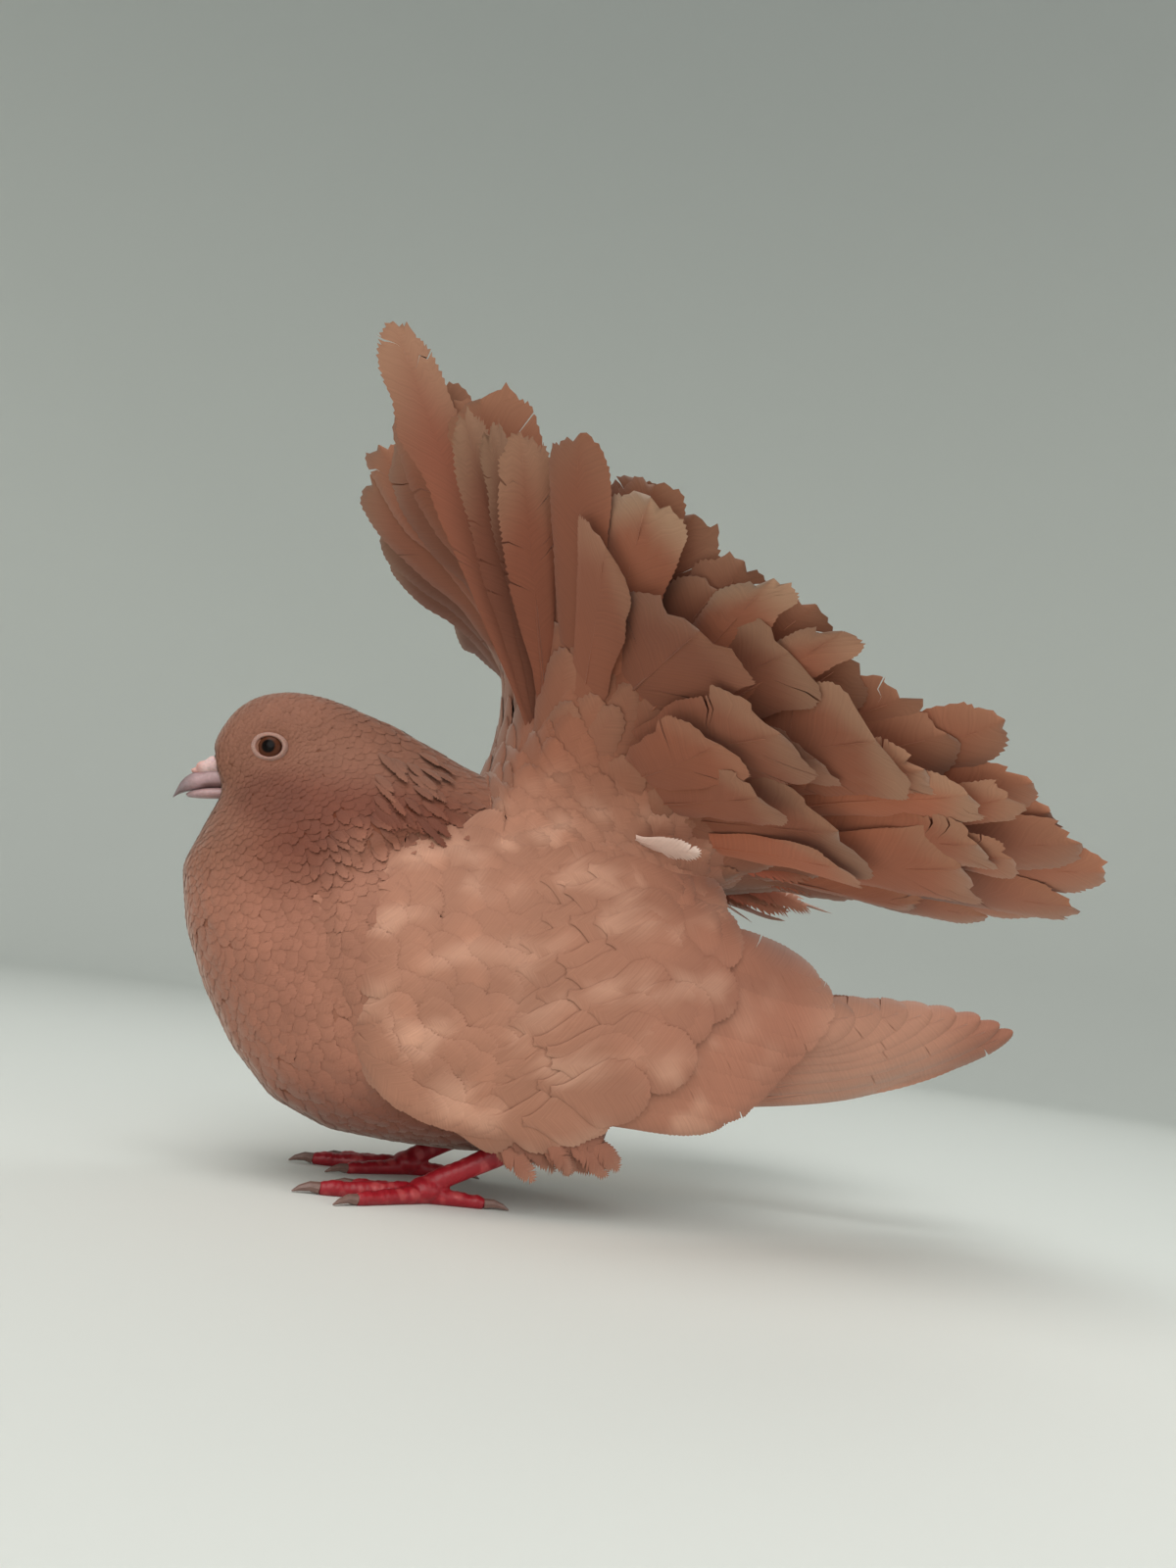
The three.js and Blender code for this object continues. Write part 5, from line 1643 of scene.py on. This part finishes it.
def toe_path(side, turn, length, wide):
    """The line of a toe along the floor, a little thicker at each joint."""
    angle = math.radians(turn) * side
    way = np.array([math.sin(angle), -math.cos(angle), 0])
    t = np.linspace(0, 1, 9)
    radius = wide * mix(1.0, 0.64, t) * (1 + 0.07 * np.cos(t * 3.5 * 2 * math.pi))
    path = FOOT * [side, 1, 1] + way * (t * length)[:, None]
    path[:, 2] = 0.84 * radius
    return path, radius


def leg_colour(points):
    """Crimson, paler on the raised scales, darker at the sole."""
    high = ease(wave_noise(points, 3.2, 17), 0.25, 0.9)
    tint = mix(LEG_RED, LEG_PALE, 0.35 * high[:, None])
    return mix(tint, LEG_DARK, (0.6 * ease(points[:, 2], 2.5, 0.3))[:, None])


def make_legs():
    """Crimson scaly shanks and toes, each leg melted into one skin, with soft pads under the toes."""
    material = leg_scales()
    for name, side in SIDES.items():
        gathering = Gathering()
        limb(gathering, np.array(SHANK) * [side, 1, 1], SHANK_RADII, 2.6, np.array([0.0, -1.0, 0.55]), 0.3)
        for turn, length, wide in TOES.values():
            limb(gathering, *toe_path(side, turn, length, wide), 2.1, np.array([0.0, 0.0, 1.0]), 0.28)
        gathering.add(*egg_form((side * FOOT[0], -5.5, 3.9), (4.6, 5.2, 3.6)), LEG_RED)
        piece = gathering.piece("leg_" + name, material, "leg_skin")
        add_melting(piece, 0.42, 2)
        flatten_soles(applied(piece))
        recolour(piece, leg_colour,
                 lambda p: np.stack([(p[:, 1] + 40) / 70, (p[:, 2] + np.abs(p[:, 0])) / 80], 1))
        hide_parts("tarsus_" + name, "foot_" + name)


def flatten_soles(mesh):
    """Presses the soles flat on the floor."""
    rows = raw_points(mesh)
    rows[:, 2] = np.maximum(rows[:, 2], SOLE / 1000)
    move_points(mesh, rows)


def finish_claws():
    """The claws keep the solids' shape, in brown horn."""
    material = claw_horn()
    for name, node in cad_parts.items():
        if name.startswith("claw_"):
            paint(node.data, CLAW_BROWN)
            node.data.materials.clear()
            node.data.materials.append(material)


# Stage, lights and camera, in metres
FLOOR_RADIUS, BEND_RADIUS, WALL_HEIGHT = 1.7, 0.8, 4.6
BIRD_MIDDLE = (0.0, 0.0, 0.12)
# The photograph's camera: where it stands in the bird's own measure, which way it looks and which way its
# right side points, and its lens, as the focal length in pixels of a frame so many pixels high
CAMERA_PLACE = [385.1, -61.5, 64.4]
CAMERA_FORWARD = (-0.956, 0.233, 0.178)
CAMERA_RIGHT = (0.258, 0.957, 0.134)
FOCAL_PIXELS, FRAME_PIXELS = 1207, 1600
SENSOR = 36.0


def make_stage():
    """A wide paper dish: flat floor that curves up all round into a pale backdrop."""
    bend = [(FLOOR_RADIUS + BEND_RADIUS * math.sin(a), BEND_RADIUS * (1 - math.cos(a)))
            for a in np.linspace(0, math.pi / 2, 14)]
    profile = [(FLOOR_RADIUS * 0.5, 0.0), *bend, (FLOOR_RADIUS + 1.3 * BEND_RADIUS, WALL_HEIGHT)]
    sides = 96
    points = [(0.0, 0.0, 0.0)]
    for radius, height in profile:
        points += [(radius * math.cos(a), radius * math.sin(a), height) for a in full_turn(sides)]
    faces = [(0, 1 + j, 1 + (j + 1) % sides) for j in range(sides)]
    for i in range(len(profile) - 1):
        a, b = 1 + i * sides, 1 + (i + 1) * sides
        faces += [(a + j, b + j, b + (j + 1) % sides, a + (j + 1) % sides) for j in range(sides)]
    mesh = bpy.data.meshes.new("paper_dish")
    mesh.from_pydata(points, [], faces)
    mesh.polygons.foreach_set("use_smooth", [True] * len(faces))
    mesh.materials.append(studio_paper())
    new_object("paper_dish", mesh)


def soft_light(name, place, size, watts, colour):
    """A round softbox aimed at the bird."""
    light = bpy.data.lights.new(name, "AREA")
    light.shape = "DISK"
    light.size = size
    light.energy = watts
    light.color = colour
    lamp = new_object(name, light)
    lamp.location = place
    lamp.rotation_euler = (Vector(BIRD_MIDDLE) - Vector(place)).to_track_quat("-Z", "Y").to_euler()


def make_lights():
    """Soft light from above and a little in front, with a weak fill."""
    soft_light("overhead_softbox", (0.5, -0.45, 1.5), 1.2, 11, (1.0, 0.99, 0.97))
    soft_light("front_softbox", (1.35, -0.5, 0.7), 1.3, 13, (1.0, 0.98, 0.96))
    soft_light("side_fill", (1.1, 1.0, 0.4), 1.0, 4, (0.98, 0.98, 1.0))
    soft_light("back_rim", (-0.9, 0.9, 1.3), 0.9, 5, (1.0, 1.0, 0.98))
    world = bpy.data.worlds.new("studio_air")
    world.use_nodes = True
    air = world.node_tree.nodes["Background"]
    air.inputs["Color"].default_value = (0.93, 0.97, 1.0, 1.0)
    air.inputs["Strength"].default_value = 0.42
    bpy.context.scene.world = world
    bpy.context.scene.view_settings.view_transform = "Standard"


def make_camera():
    """The photograph's camera: from the bird's left, low, looking a little up and tilted."""
    camera = new_object("camera", bpy.data.cameras.new("camera"))
    forward = Vector(CAMERA_FORWARD).normalized()
    right = Vector(CAMERA_RIGHT)
    right = (right - forward * right.dot(forward)).normalized()
    turned = Matrix((right, right.cross(forward), -forward)).transposed().to_4x4()
    camera.matrix_world = Matrix.Translation(Vector(placed(CAMERA_PLACE))) @ turned
    camera.data.sensor_width = SENSOR
    camera.data.lens = SENSOR * FOCAL_PIXELS / FRAME_PIXELS
    camera.data.clip_start = 0.01
    bpy.context.scene.camera = camera


make_camera()
skin_piece = make_skin()
dress_skin(skin_piece)
make_coat(Surface(skin_piece.data))
wing_covert = covert_feather()
stiff_feather = flight_feather()
make_rump(wing_covert)
make_tail(stiff_feather)
for side_name in SIDES:
    make_wing(side_name, stiff_feather, wing_covert)
make_bill()
make_cere()
make_eyes()
make_eyelids()
make_legs()
finish_claws()
make_stage()
make_lights()
